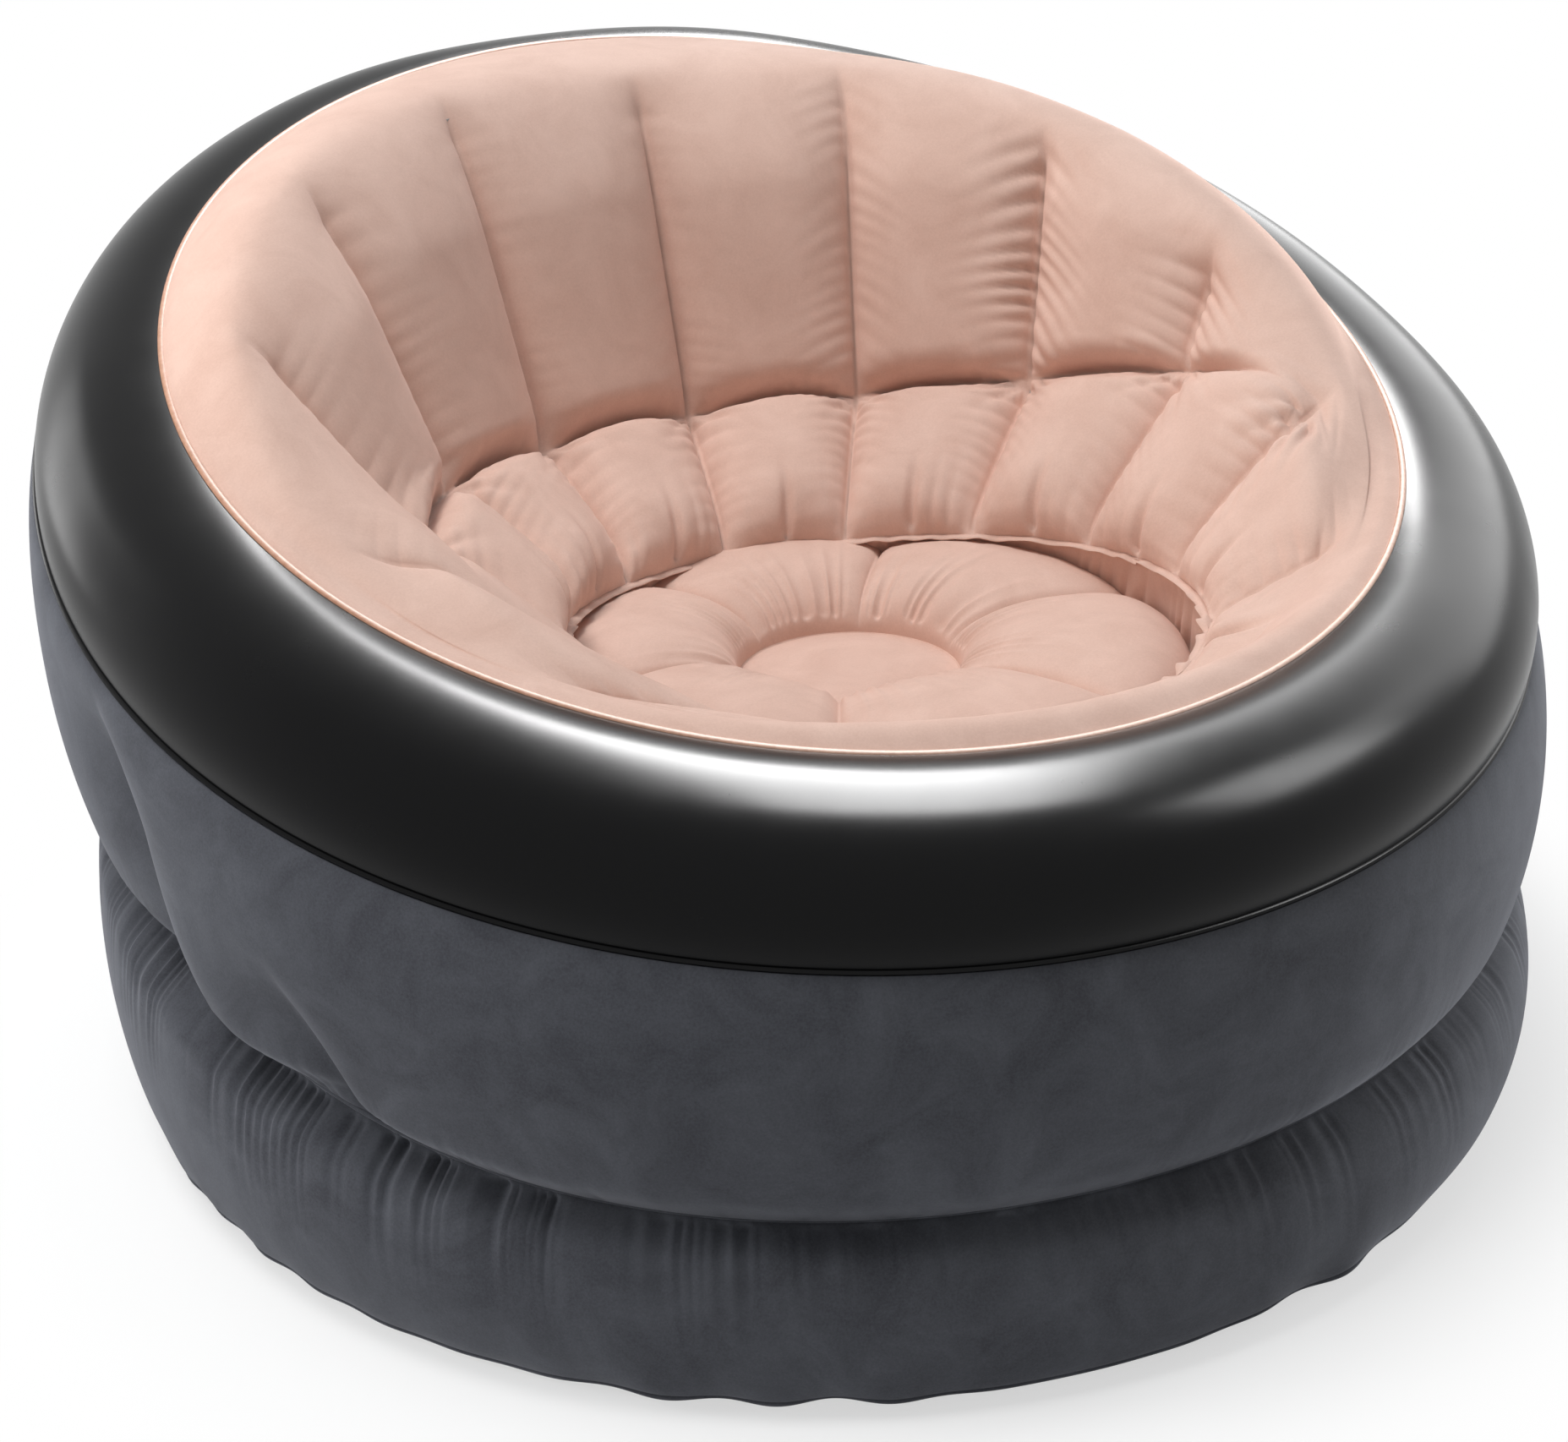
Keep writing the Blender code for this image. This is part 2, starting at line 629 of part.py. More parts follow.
def make_skirt(peach, inner):
    half_flange = FOOT_FLANGE_THICKNESS / 2
    end = INNER_SEAM_RADIUS + CLEARANCE
    skirt_top = half_flange + CLEARANCE
    skirt = ring_columns(skirt_column, foot_ring, skirt_ring, skirt_top, end)
    sheet_panel("seat_skirt_wall", skirt, peach)
    seam_strip("skirt_foot_weld", skirt_ring, round_section(INNER_SEAM_RADIUS, 4), peach)
    windows = [(i, 1) for i in range(0, RING_FACETS, FACETS_PER_CELL + FACETS_PER_CELL // 2 + 1)]
    tie = ring_columns(waist_tie_column, skirt_ring, waist_ring, end, SEAM_RADIUS + CLEARANCE)
    sheet_panel("waist_tie_sheet", tie, inner, windows=windows)


def make_seat(peach, inner):
    """The inflated seat: six puffed cells round a plain disc, on its ties."""
    end = INNER_SEAM_RADIUS + CLEARANCE
    outer_end = end + chord_sag(SKIRT_HALF_WIDTH, RING_FACETS) + CLEARANCE
    columns = [trimmed(seat_column(i), outer_end, end) for i in range(SEAT_FACETS)]
    sheet_panel("seat_ring_panel", columns, peach)
    seam_strip("seat_disc_weld", disc_ring, round_section(INNER_SEAM_RADIUS, 4), peach,
               SEAT_FACETS)
    disc = [trimmed(disc_column(turn_of(i, SEAT_FACETS)), end, 0) for i in range(SEAT_FACETS)]
    sheet_panel("seat_centre_panel", disc, peach, cap="last")

    tube = []
    for i in range(TUBE_FACETS):
        top = disc_ring(turn_of(i, TUBE_FACETS)) - Vector((0, 0, end))
        low = Vector((top.x, top.y, SHEET + CLEARANCE))
        tube.append([low, low.lerp(top, 1 / 3), low.lerp(top, 2 / 3), top])
    windows = [(i, 1) for i in range(0, TUBE_FACETS, 4)]
    sheet_panel("seat_tie_tube", tube, inner, windows=windows)
    for cell in range(SEAT_CELLS):
        make_seat_web(cell, inner)


def make_seat_web(cell, material):
    """The web under one weld of the seat, from the tie tube out."""
    index = FACETS_PER_SEAT_CELL // 2 + cell * FACETS_PER_SEAT_CELL
    turn = turn_of(index, SEAT_FACETS)
    outward = Vector((math.sin(turn), math.cos(turn), 0))
    hang = Vector((0, 0, 2 * SHEET + CLEARANCE))
    valley = seat_column(index)[2:-1]
    valley[0] = valley[0].lerp(valley[1], SEAT_WEB_START_SHARE)
    tube_side = disc_ring(turn) + outward * CLEARANCE
    upper = [point - hang for point in valley]
    under_bead = SEAT_DISC_HEIGHT - INNER_SEAM_RADIUS - WEB_GAP
    upper.append(Vector((tube_side.x, tube_side.y, under_bead)))
    lower = [Vector((point.x, point.y, SEAT_WEB_LOW)) for point in upper]
    strip_piece(f"seat_web_{cell + 1}", upper, lower, material)


# Valve

def wall_facet():
    """Middle, outward normal and upward direction of the facet that holds the valve."""
    left, right = wall_column(turn_of(VALVE_FACET)), wall_column(turn_of(VALVE_FACET + 1))
    corners = [left[VALVE_ROW], left[VALVE_ROW + 1], right[VALVE_ROW + 1], right[VALVE_ROW]]
    middle = sum(corners, Vector()) / len(corners)
    normal = (corners[2] - corners[0]).cross(corners[3] - corners[1]).normalized()
    if normal.dot(Vector((middle.x, middle.y, 0))) < 0:
        normal.negate()
    upward = (Vector((0, 0, 1)) - normal * normal.z).normalized()
    return middle, normal, upward


def add_frame(name, parent, matrix):
    frame = bpy.data.objects.new(name, None)
    bpy.context.scene.collection.objects.link(frame)
    frame.parent = parent
    frame.matrix_local = matrix
    return frame


def turned_piece(name, profile, parent, material, drop=Vector()):
    """A piece spun round the valve's axis from a closed profile of (radius, height)."""
    work = bmesh.new()
    corners = [work.verts.new(Vector((radius, 0, height)) - drop) for radius, height in profile]
    edges = [work.edges.new((corners[i], corners[(i + 1) % len(corners)]))
             for i in range(len(corners)) if profile[i][0] > 0 or profile[(i + 1) % len(corners)][0] > 0]
    bmesh.ops.spin(work, geom=corners + edges, cent=-drop, axis=(0, 0, 1), angle=FULL_TURN,
                   steps=VALVE_FACETS, use_merge=True)
    bmesh.ops.remove_doubles(work, verts=work.verts, dist=CLEARANCE / 10)
    bmesh.ops.recalc_face_normals(work, faces=work.faces)
    mesh = bpy.data.meshes.new(name)
    work.to_mesh(mesh)
    work.free()
    piece = add_object(name, mesh, material)
    piece.parent = parent
    return piece


def cut_with(piece, cutter):
    cutter.hide_render = True
    cutter.display_type = "WIRE"
    cut = piece.modifiers.new("Cut", "BOOLEAN")
    cut.operation = "DIFFERENCE"
    cut.solver = "EXACT"
    cut.object = cutter


def join_with(piece, other):
    other.hide_render = True
    other.display_type = "WIRE"
    join = piece.modifiers.new("Join", "BOOLEAN")
    join.operation = "UNION"
    join.solver = "EXACT"
    join.object = other


def block(name, low, high, parent, material):
    """A plain block between two corners, as a shape to join or to cut with."""
    mesh = bpy.data.meshes.new(name)
    work = bmesh.new()
    bmesh.ops.create_cube(work, size=1.0)
    size = high - low
    bmesh.ops.scale(work, vec=size, verts=work.verts)
    bmesh.ops.translate(work, vec=(low + high) / 2, verts=work.verts)
    work.to_mesh(mesh)
    work.free()
    piece = add_object(name, mesh, material)
    piece.parent = parent
    return piece


def make_valve(wall, plastic, rubber):
    """A two-stage valve: a base welded into the wall, a screw-in insert with
    its gasket and check flap, and a flip plug."""
    middle, normal, upward = wall_facet()
    sideways = upward.cross(normal)
    turn = Matrix((sideways, upward, normal)).transposed().to_4x4()
    valve = add_frame("valve_axis", wall.parent, Matrix.Translation(middle) @ turn)

    flange_low = -VALVE_FLANGE_THICKNESS / 2
    flange_high = VALVE_FLANGE_THICKNESS / 2
    collar_bore = COLLAR_RADIUS - COLLAR_WALL
    turned_piece("valve_base", [
        (collar_bore, -COLLAR_DEPTH), (COLLAR_RADIUS, -COLLAR_DEPTH),
        (COLLAR_RADIUS, flange_low), (VALVE_FLANGE_RADIUS, flange_low),
        (VALVE_FLANGE_RADIUS, flange_high), (COLLAR_RADIUS, flange_high),
        (COLLAR_RADIUS, COLLAR_STAND), (collar_bore, COLLAR_STAND)], valve, plastic)
    opening = VALVE_FLANGE_RADIUS + CLEARANCE
    hole = turned_piece("wall_hole_cutter", [
        (0, -CUT_OVERRUN), (opening, -CUT_OVERRUN), (opening, CUT_OVERRUN), (0, CUT_OVERRUN)],
        valve, plastic)
    cut_with(wall, hole)

    insert_radius = collar_bore - CLEARANCE
    gasket_low = COLLAR_STAND + CLEARANCE
    rim_low = gasket_low + GASKET_THICKNESS + CLEARANCE
    rim_high = rim_low + INSERT_RIM_THICKNESS
    insert_low = rim_low - INSERT_LENGTH
    turned_piece("valve_gasket", [
        (insert_radius + CLEARANCE, gasket_low), (COLLAR_RADIUS, gasket_low),
        (COLLAR_RADIUS, gasket_low + GASKET_THICKNESS),
        (insert_radius + CLEARANCE, gasket_low + GASKET_THICKNESS)], valve, rubber)
    insert = turned_piece("valve_insert", [
        (INSERT_BORE, insert_low), (insert_radius, insert_low), (insert_radius, rim_low),
        (INSERT_RIM_RADIUS, rim_low), (INSERT_RIM_RADIUS, rim_high), (INSERT_BORE, rim_high)],
        valve, plastic)
    make_grips(insert, valve, rim_low, plastic)
    make_flap(valve, insert_low, rubber)
    make_plug(valve, rim_high, plastic)


def make_grips(insert, valve, rim_low, material):
    """Finger notches round the insert's rim."""
    for i in range(INSERT_GRIPS):
        turn = turn_of(i + 0.5, INSERT_GRIPS)
        mesh = bpy.data.meshes.new("grip_cutter")
        work = bmesh.new()
        bmesh.ops.create_cone(work, cap_ends=True, segments=8, radius1=INSERT_GRIP_RADIUS,
                              radius2=INSERT_GRIP_RADIUS, depth=CUT_OVERRUN)
        work.to_mesh(mesh)
        work.free()
        cutter = add_object(f"grip_cutter_{i + 1}", mesh, material)
        cutter.parent = valve
        reach = INSERT_RIM_RADIUS + INSERT_GRIP_RADIUS / 2
        cutter.location = (reach * math.cos(turn), reach * math.sin(turn),
                           rim_low + CUT_OVERRUN / 2 - CLEARANCE)
        cut_with(insert, cutter)


def make_flap(valve, insert_low, material):
    """The soft check flap under the insert's bore, hinged at its upper edge."""
    top = insert_low - CLEARANCE
    hinge = Vector((0, FLAP_RADIUS + FLAP_TAIL, top))
    frame = add_frame("flap_hinge", valve, Matrix.Translation(hinge))
    flap = turned_piece("check_flap", [
        (0, top - FLAP_THICKNESS), (FLAP_RADIUS, top - FLAP_THICKNESS), (FLAP_RADIUS, top),
        (0, top)], frame, material, drop=hinge)
    tail = block("flap_tail", Vector((-FLAP_TAIL_WIDTH / 2, -2 * FLAP_TAIL, -FLAP_THICKNESS)),
                 Vector((FLAP_TAIL_WIDTH / 2, 0, 0)), frame, material)
    join_with(flap, tail)


def make_plug(valve, rim_high, material):
    """The flip plug: a tapered stem under a cap, on an arm to its hinge."""
    low = rim_high + CLEARANCE
    high = low + PLUG_CAP_THICKNESS
    hinge = Vector((0, INSERT_RIM_RADIUS + CLEARANCE, low))
    frame = add_frame("plug_hinge", valve, Matrix.Translation(hinge))
    stem = INSERT_BORE - PLUG_GAP
    plug = turned_piece("valve_plug", [
        (0, low - PLUG_DEPTH), (stem - PLUG_TAPER, low - PLUG_DEPTH), (stem, low),
        (PLUG_CAP_RADIUS, low), (PLUG_CAP_RADIUS, high), (0, high)], frame, material, drop=hinge)
    half = PLUG_ARM_WIDTH / 2
    overlap = PLUG_CAP_RADIUS / 4
    arm_start = -hinge.y + PLUG_CAP_RADIUS - overlap
    arm = block("plug_arm", Vector((-half, arm_start, 0)),
                Vector((half, 0, PLUG_CAP_THICKNESS)), frame, material)
    join_with(plug, arm)
    tab_end = -hinge.y - PLUG_CAP_RADIUS
    tab = block("plug_tab", Vector((-half, tab_end - PLUG_TAB_REACH, 0)),
                Vector((half, tab_end + overlap, PLUG_CAP_THICKNESS)), frame, material)
    join_with(plug, tab)


def outline_middle():
    """Y of the middle of the chair's outline, front to back."""
    columns = (base_column, wall_column, band_column)
    points = [point for column in columns for turn in (0, math.pi) for point in column(turn)]
    return (max(point.y for point in points) + min(point.y for point in points)) / 2


def build_chair():
    for old in list(bpy.context.scene.objects):
        bpy.data.objects.remove(old, do_unlink=True)
    black = make_material("flocked_vinyl_charcoal", (0.055, 0.058, 0.066), 0.95)
    gloss = make_material("glossy_vinyl_black", (0.012, 0.012, 0.014), 0.12)
    peach = make_material("flocked_vinyl_blush", (0.62, 0.41, 0.33), 0.95)
    tan = make_material("welded_edge_tan", (0.45, 0.27, 0.18), 0.5)
    inner = make_material("clear_grey_vinyl", (0.35, 0.36, 0.37), 0.4)
    plastic = make_material("moulded_vinyl_grey", (0.08, 0.08, 0.09), 0.35)
    rubber = make_material("soft_silicone", (0.5, 0.5, 0.5), 0.5)

    wall = make_outer_panels(black, gloss, tan)
    make_liner(peach, tan, inner)
    make_skirt(peach, inner)
    make_seat(peach, inner)
    centre = add_frame("chair_centre", None, Matrix.Translation((0, -outline_middle(), 0)))
    for piece in list(bpy.context.scene.objects):
        if piece is not centre:
            piece.parent = centre
    make_valve(wall, plastic, rubber)


build_chair()
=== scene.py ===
import json
import math

import bmesh
import bpy
import numpy as np
from mathutils import Matrix, Vector


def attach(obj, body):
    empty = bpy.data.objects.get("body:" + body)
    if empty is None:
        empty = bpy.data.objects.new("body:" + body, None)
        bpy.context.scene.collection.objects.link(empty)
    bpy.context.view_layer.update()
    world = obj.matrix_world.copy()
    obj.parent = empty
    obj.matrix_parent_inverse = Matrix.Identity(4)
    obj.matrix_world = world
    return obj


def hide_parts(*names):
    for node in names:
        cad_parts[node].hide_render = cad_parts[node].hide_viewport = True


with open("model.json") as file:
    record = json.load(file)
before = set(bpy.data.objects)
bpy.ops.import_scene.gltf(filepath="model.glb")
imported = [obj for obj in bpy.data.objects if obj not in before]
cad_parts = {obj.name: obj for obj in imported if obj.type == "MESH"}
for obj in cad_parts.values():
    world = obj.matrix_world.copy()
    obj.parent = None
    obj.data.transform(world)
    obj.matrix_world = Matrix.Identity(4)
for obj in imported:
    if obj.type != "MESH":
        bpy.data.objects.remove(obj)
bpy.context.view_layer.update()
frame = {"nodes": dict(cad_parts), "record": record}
print("frame loaded")

# everything below is in metres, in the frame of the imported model
# a turn is an angle round the chair from the middle of its back, positive towards +X

mainBody = "chair_body"
fullTurn = 2 * math.pi
chair = {
    "shift": -0.015242,          # the curves are drawn round the base, the frame round the outline
    "backCells": 14,
    "seatCells": 6,
    "creaseHalfCells": 3,
    "sheet": 0.0005,
    "rimWeldStep": 0.0015,
}

rings = {
    "floor": {"width": 0.530, "front": 0.530, "back": 0.530, "shift": 0.0,
              "heights": (0.010, 0.010, 0.010)},
    "waist": {"width": 0.528, "front": 0.510, "back": 0.534, "shift": 0.012,
              "heights": (0.120, 0.212, 0.310), "shoulder": -0.0105, "drawn": True},
    "seam": {"width": 0.542, "front": 0.511, "back": 0.563, "shift": 0.032,
             "heights": (0.285, 0.434, 0.679), "backSag": 0.030},
    "rim": {"width": 0.4465, "front": 0.4155, "back": 0.4675, "shift": 0.032,
            "heights": (0.372, 0.518, 0.692)},
    "plateau": {"width": 0.4005, "front": 0.3905, "back": 0.3435, "shift": -0.042,
                "heights": (0.374, 0.497, 0.660), "shoulder": -0.023, "quarterRise": 0.020},
    "crease": {"width": 0.332, "front": 0.368, "back": 0.257, "shift": -0.075,
               "heights": (0.362, 0.446, 0.400), "shoulder": 0.012, "quarterRise": -0.045},
    "foot": {"width": 0.228, "front": 0.345, "back": 0.111, "shift": -0.125,
             "heights": (0.345, 0.348, 0.325), "twist": -7.0},
    "skirt": {"width": 0.248, "front": 0.340, "back": 0.180, "shift": -0.080,
              "heights": (0.215, 0.215, 0.215), "twist": -7.0},
    "disc": {"width": 0.083, "front": 0.148, "back": 0.018, "shift": -0.065,
             "heights": (0.283, 0.283, 0.283)},
}


# how far the air pressure draws the waist weld in, most at the chair's left
waistDraws = {"least": 0.005, "more": 0.012, "turn": -100, "spread": 42}
skirtUntwist = math.radians(-rings["skirt"]["twist"])


def signedTurn(turns, degrees):
    # degrees past a given turn, from -180 to 180
    return (np.degrees(turns) - degrees + 180) % 360 - 180


def waistDraw(turns):
    away = signedTurn(turns, waistDraws["turn"])
    return waistDraws["least"] + waistDraws["more"] * np.exp(-(away / waistDraws["spread"]) ** 2)


def ringAt(name, turns):
    # points of a named curve at an array of turns
    ring = rings[name]
    frontHeight, sideHeight, backHeight = ring["heights"]
    lean = (ring["back"] - ring["front"]) / 2
    reach = (ring["back"] + ring["front"]) / 2
    shoulder = ring.get("shoulder", 0.0)
    ends = (frontHeight + backHeight) / 2
    angle = np.asarray(turns, float) + math.radians(ring.get("twist", 0.0))
    toFront = np.cos(angle) < 0
    x = ring["width"] * np.sin(angle)
    y = ((lean + ring["shift"]) / 2 + reach * np.cos(angle)
         + (lean - ring["shift"]) / 2 * np.cos(2 * angle) + chair["shift"])
    z = ((ends + sideHeight) / 2
         + ((backHeight - frontHeight) / 2 - shoulder) * np.cos(angle)
         + (ends - sideHeight) / 2 * np.cos(2 * angle)
         + shoulder * np.cos(3 * angle)
         + ring.get("quarterRise", 0.0) * np.where(toFront, np.sin(2 * angle) ** 2, 0.0)
         - ring.get("backSag", 0.0) * np.clip(np.cos(angle), 0, 1) ** 4)
    if ring.get("drawn"):
        inside = 1 - waistDraw(angle) / np.hypot(x, y)
        x, y = x * inside, y * inside
    return np.stack([x, y, z], -1)


def unit(vectors):
    return vectors / np.maximum(np.linalg.norm(vectors, axis=-1, keepdims=True), 1e-12)


def outwardAt(name, turns):
    # level direction square to a curve, away from its middle
    along = ringAt(name, turns + 0.01) - ringAt(name, turns - 0.01)
    outward = unit(np.stack([-along[..., 1], along[..., 0], 0 * along[..., 0]], -1))
    points = ringAt(name, turns)
    if (outward * (points - points.mean(axis=0))).sum() < 0:
        outward = -outward
    return outward


def squareTo(chord, outward):
    # direction square to a chord, on its outward side
    lean = (outward * chord).sum(-1, keepdims=True) / (chord * chord).sum(-1, keepdims=True)
    return unit(outward - chord * lean)


def smoothStep(low, high, value):
    t = np.clip((value - low) / (high - low), 0, 1)
    return t * t * (3 - 2 * t)


def softNoise(turns, seed, low, high):
    # a seeded wave round the chair, made of whole numbers of ripples from low to high
    rng = np.random.RandomState(seed)
    total = np.zeros_like(turns)
    for count in range(low, high + 1):
        total += rng.normal() * np.cos(count * turns + rng.uniform(0, fullTurn))
    return total / math.sqrt((high - low + 1) / 2)


def folds(turns, seed, count, wander=1.0, evenness=0.5):
    # round-topped gathers with sharp valleys, 0 at a valley and up to 1 on a fold
    phase = count * turns / 2 + wander * softNoise(turns, seed, 2, max(3, count // 5))
    height = np.abs(np.sin(phase)) ** 0.9
    strength = np.clip(evenness + 0.5 * softNoise(turns, seed + 1, 2, max(3, count // 3)), 0, 1.3)
    return height * strength


def blurRows(values, spread, weights):
    # smooths along the rows where the weights ask for it
    rows = np.arange(values.shape[1])
    kernel = np.exp(-0.5 * ((rows[:, None] - rows[None]) / spread) ** 2)
    kernel /= kernel.sum(1, keepdims=True)
    kernel = kernel * weights[:, None] + np.eye(len(rows)) * (1 - weights)[:, None]
    return np.einsum("rs,csk->crk", kernel, values)


def addObject(name, data):
    added = bpy.data.objects.new(name, data)
    bpy.context.scene.collection.objects.link(added)
    return added


def gridObject(name, points, cap=False):
    # a sheet right round through points[column, row]; it faces outwards where the rows run upwards
    columns, rowCount = points.shape[:2]
    index = np.arange(columns * rowCount).reshape(columns, rowCount)
    following = np.roll(index, -1, axis=0)
    quads = np.stack([index[:, :-1], index[:, 1:], following[:, 1:], following[:, :-1]], -1)
    faces = quads.reshape(-1, 4).tolist()
    vertices = points.reshape(-1, 3)
    if cap:
        middle = len(vertices)
        vertices = np.vstack([vertices, points[:, -1].mean(axis=0)])
        last = index[:, -1]
        faces += [(int(a), middle, int(b)) for a, b in zip(last, np.roll(last, -1))]
    mesh = bpy.data.meshes.new(name)
    mesh.from_pydata(vertices.tolist(), [], faces)
    mesh.update()
    mesh.shade_smooth()
    return addObject(name, mesh)


def tubeObject(name, centres, outward, section):
    # a section of (out, up) points swept along a row of centres
    points = [centres + outward * out + np.array([0, 0, up]) for out, up in section]
    points.append(points[0])
    return gridObject(name, np.stack(points, 1))


def finishPiece(piece, material, slotName, *nodes, padded=False):
    piece.data.materials.append(material)
    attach(piece, mainBody)
    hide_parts(*nodes)
    return piece


# materials

def toLinear(hexColour):
    values = [int(hexColour[i:i + 2], 16) / 255 for i in (1, 3, 5)]
    linear = [v / 12.92 if v <= 0.04045 else ((v + 0.055) / 1.055) ** 2.4 for v in values]
    return (*linear, 1.0)


def addNode(tree, kind, settings=(), values=(), links=()):
    # one node: its settings, its socket values and what feeds its sockets
    node = tree.nodes.new(kind)
    for key, value in dict(settings).items():
        setattr(node, key, value)
    for key, value in dict(values).items():
        node.inputs[key].default_value = value
    for key, source in dict(links).items():
        tree.links.new(source, node.inputs[key])
    return node


def newMaterial(name):
    material = bpy.data.materials.new(name)
    material.use_nodes = True
    return material, material.node_tree, material.node_tree.nodes["Principled BSDF"]


def flockedVinyl(name, settings):
    # short nylon flock on soft PVC: no gloss, a soft bloom at glancing angles,
    # hand marks where the pile lies another way, and a fine grain
    material, tree, shader = newMaterial(name)
    place = addNode(tree, "ShaderNodeTexCoord")
    marks = addNode(tree, "ShaderNodeTexNoise",
                    values={"Scale": 1 / settings["markSize"], "Detail": 6.0, "Roughness": 0.62,
                            "Distortion": 0.6},
                    links={"Vector": place.outputs["Object"]})
    grain = addNode(tree, "ShaderNodeTexNoise",
                    values={"Scale": 1 / settings["grainSize"], "Detail": 3.0, "Roughness": 0.7},
                    links={"Vector": place.outputs["Object"]})
    both = addNode(tree, "ShaderNodeMix", {"data_type": "FLOAT"}, {0: settings["grainShare"]},
                   {2: marks.outputs["Fac"], 3: grain.outputs["Fac"]})
    ramp = addNode(tree, "ShaderNodeValToRGB", links={"Fac": both.outputs[0]})
    low, high = ramp.color_ramp.elements
    low.position, high.position = settings["rampEnds"]
    low.color, high.color = toLinear(settings["dark"]), toLinear(settings["light"])
    bump = addNode(tree, "ShaderNodeBump",
                   values={"Strength": settings["bump"], "Distance": settings["bumpHeight"]},
                   links={"Height": both.outputs[0]})
    tree.links.new(ramp.outputs["Color"], shader.inputs["Base Color"])
    tree.links.new(bump.outputs["Normal"], shader.inputs["Normal"])
    shader.inputs["Roughness"].default_value = 0.9
    shader.inputs["IOR"].default_value = 1.45
    shader.inputs["Specular IOR Level"].default_value = 0.15
    shader.inputs["Sheen Weight"].default_value = settings["sheen"]
    shader.inputs["Sheen Roughness"].default_value = 0.45
    shader.inputs["Sheen Tint"].default_value = toLinear(settings["sheenTint"])
    return material


def glossyVinyl(name, settings):
    # calendered soft PVC, blown tight: a wet-looking skin with slow waves in it
    material, tree, shader = newMaterial(name)
    place = addNode(tree, "ShaderNodeTexCoord")
    waves = addNode(tree, "ShaderNodeTexNoise",
                    values={"Scale": 1 / settings["waveSize"], "Detail": 2.0, "Roughness": 0.4},
                    links={"Vector": place.outputs["Object"]})
    smear = addNode(tree, "ShaderNodeTexNoise",
                    values={"Scale": 1 / settings["smearSize"], "Detail": 5.0, "Roughness": 0.6},
                    links={"Vector": place.outputs["Object"]})
    rough = addNode(tree, "ShaderNodeMapRange",
                    values={"To Min": settings["roughness"][0], "To Max": settings["roughness"][1]},
                    links={"Value": smear.outputs["Fac"]})
    bump = addNode(tree, "ShaderNodeBump",
                   values={"Strength": settings["bump"], "Distance": settings["bumpHeight"]},
                   links={"Height": waves.outputs["Fac"]})
    shader.inputs["Base Color"].default_value = toLinear(settings["colour"])
    tree.links.new(rough.outputs["Result"], shader.inputs["Roughness"])
    tree.links.new(bump.outputs["Normal"], shader.inputs["Normal"])
    shader.inputs["IOR"].default_value = 1.52
    shader.inputs["Specular IOR Level"].default_value = settings["specular"]
    return material


def plainVinyl(name, settings):
    # moulded or sheet PVC that isn't flocked: an even skin with a light grain
    material, tree, shader = newMaterial(name)
    place = addNode(tree, "ShaderNodeTexCoord")
    grain = addNode(tree, "ShaderNodeTexNoise",
                    values={"Scale": 1 / settings["grainSize"], "Detail": 3.0},
                    links={"Vector": place.outputs["Object"]})
    tone = addNode(tree, "ShaderNodeValToRGB", links={"Fac": grain.outputs["Fac"]})
    low, high = tone.color_ramp.elements
    low.position, high.position = 0.3, 0.7
    low.color, high.color = toLinear(settings["dark"]), toLinear(settings["light"])
    bump = addNode(tree, "ShaderNodeBump", values={"Strength": 0.15, "Distance": 0.0002},
                   links={"Height": grain.outputs["Fac"]})
    tree.links.new(tone.outputs["Color"], shader.inputs["Base Color"])
    tree.links.new(bump.outputs["Normal"], shader.inputs["Normal"])
    shader.inputs["Roughness"].default_value = settings["roughness"]
    shader.inputs["IOR"].default_value = 1.5
    return material


finishes = {
    "blush": {"dark": "#CFAA9A", "light": "#DFBDAE", "markSize": 0.055, "grainSize": 0.0016,
              "grainShare": 0.35, "rampEnds": (0.30, 0.62), "bump": 0.25, "bumpHeight": 0.0006,
              "sheen": 0.25, "sheenTint": "#F6DDD3"},
    "charcoal": {"dark": "#35363B", "light": "#515359", "markSize": 0.060, "grainSize": 0.0016,
                 "grainShare": 0.35, "rampEnds": (0.30, 0.66), "bump": 0.3, "bumpHeight": 0.0006,
                 "sheen": 0.32, "sheenTint": "#B4B6BE"},
    "gloss": {"colour": "#060607", "specular": 0.11, "waveSize": 0.14, "smearSize": 0.05,
              "roughness": (0.22, 0.30), "bump": 0.25, "bumpHeight": 0.004},
    "tan": {"dark": "#B07E62", "light": "#C4947A", "grainSize": 0.004, "roughness": 0.6},
    "clear": {"dark": "#9FA2A4", "light": "#B4B7B9", "grainSize": 0.02, "roughness": 0.35},
    "moulded": {"dark": "#2C2D2F", "light": "#36373A", "grainSize": 0.003, "roughness": 0.38},
    "silicone": {"dark": "#B5B5B3", "light": "#C6C6C4", "grainSize": 0.003, "roughness": 0.5},
}
blush = flockedVinyl("flocked vinyl, blush nylon pile", finishes["blush"])
charcoal = flockedVinyl("flocked vinyl, charcoal nylon pile", finishes["charcoal"])
gloss = glossyVinyl("calendered gloss vinyl, black", finishes["gloss"])
tan = plainVinyl("heat-welded vinyl edge, tan", finishes["tan"])
clear = plainVinyl("plain vinyl web, grey", finishes["clear"])
moulded = plainVinyl("moulded soft vinyl, dark grey", finishes["moulded"])
silicone = plainVinyl("moulded silicone, pale grey", finishes["silicone"])
print("materials made")


# quilted liner of the bowl

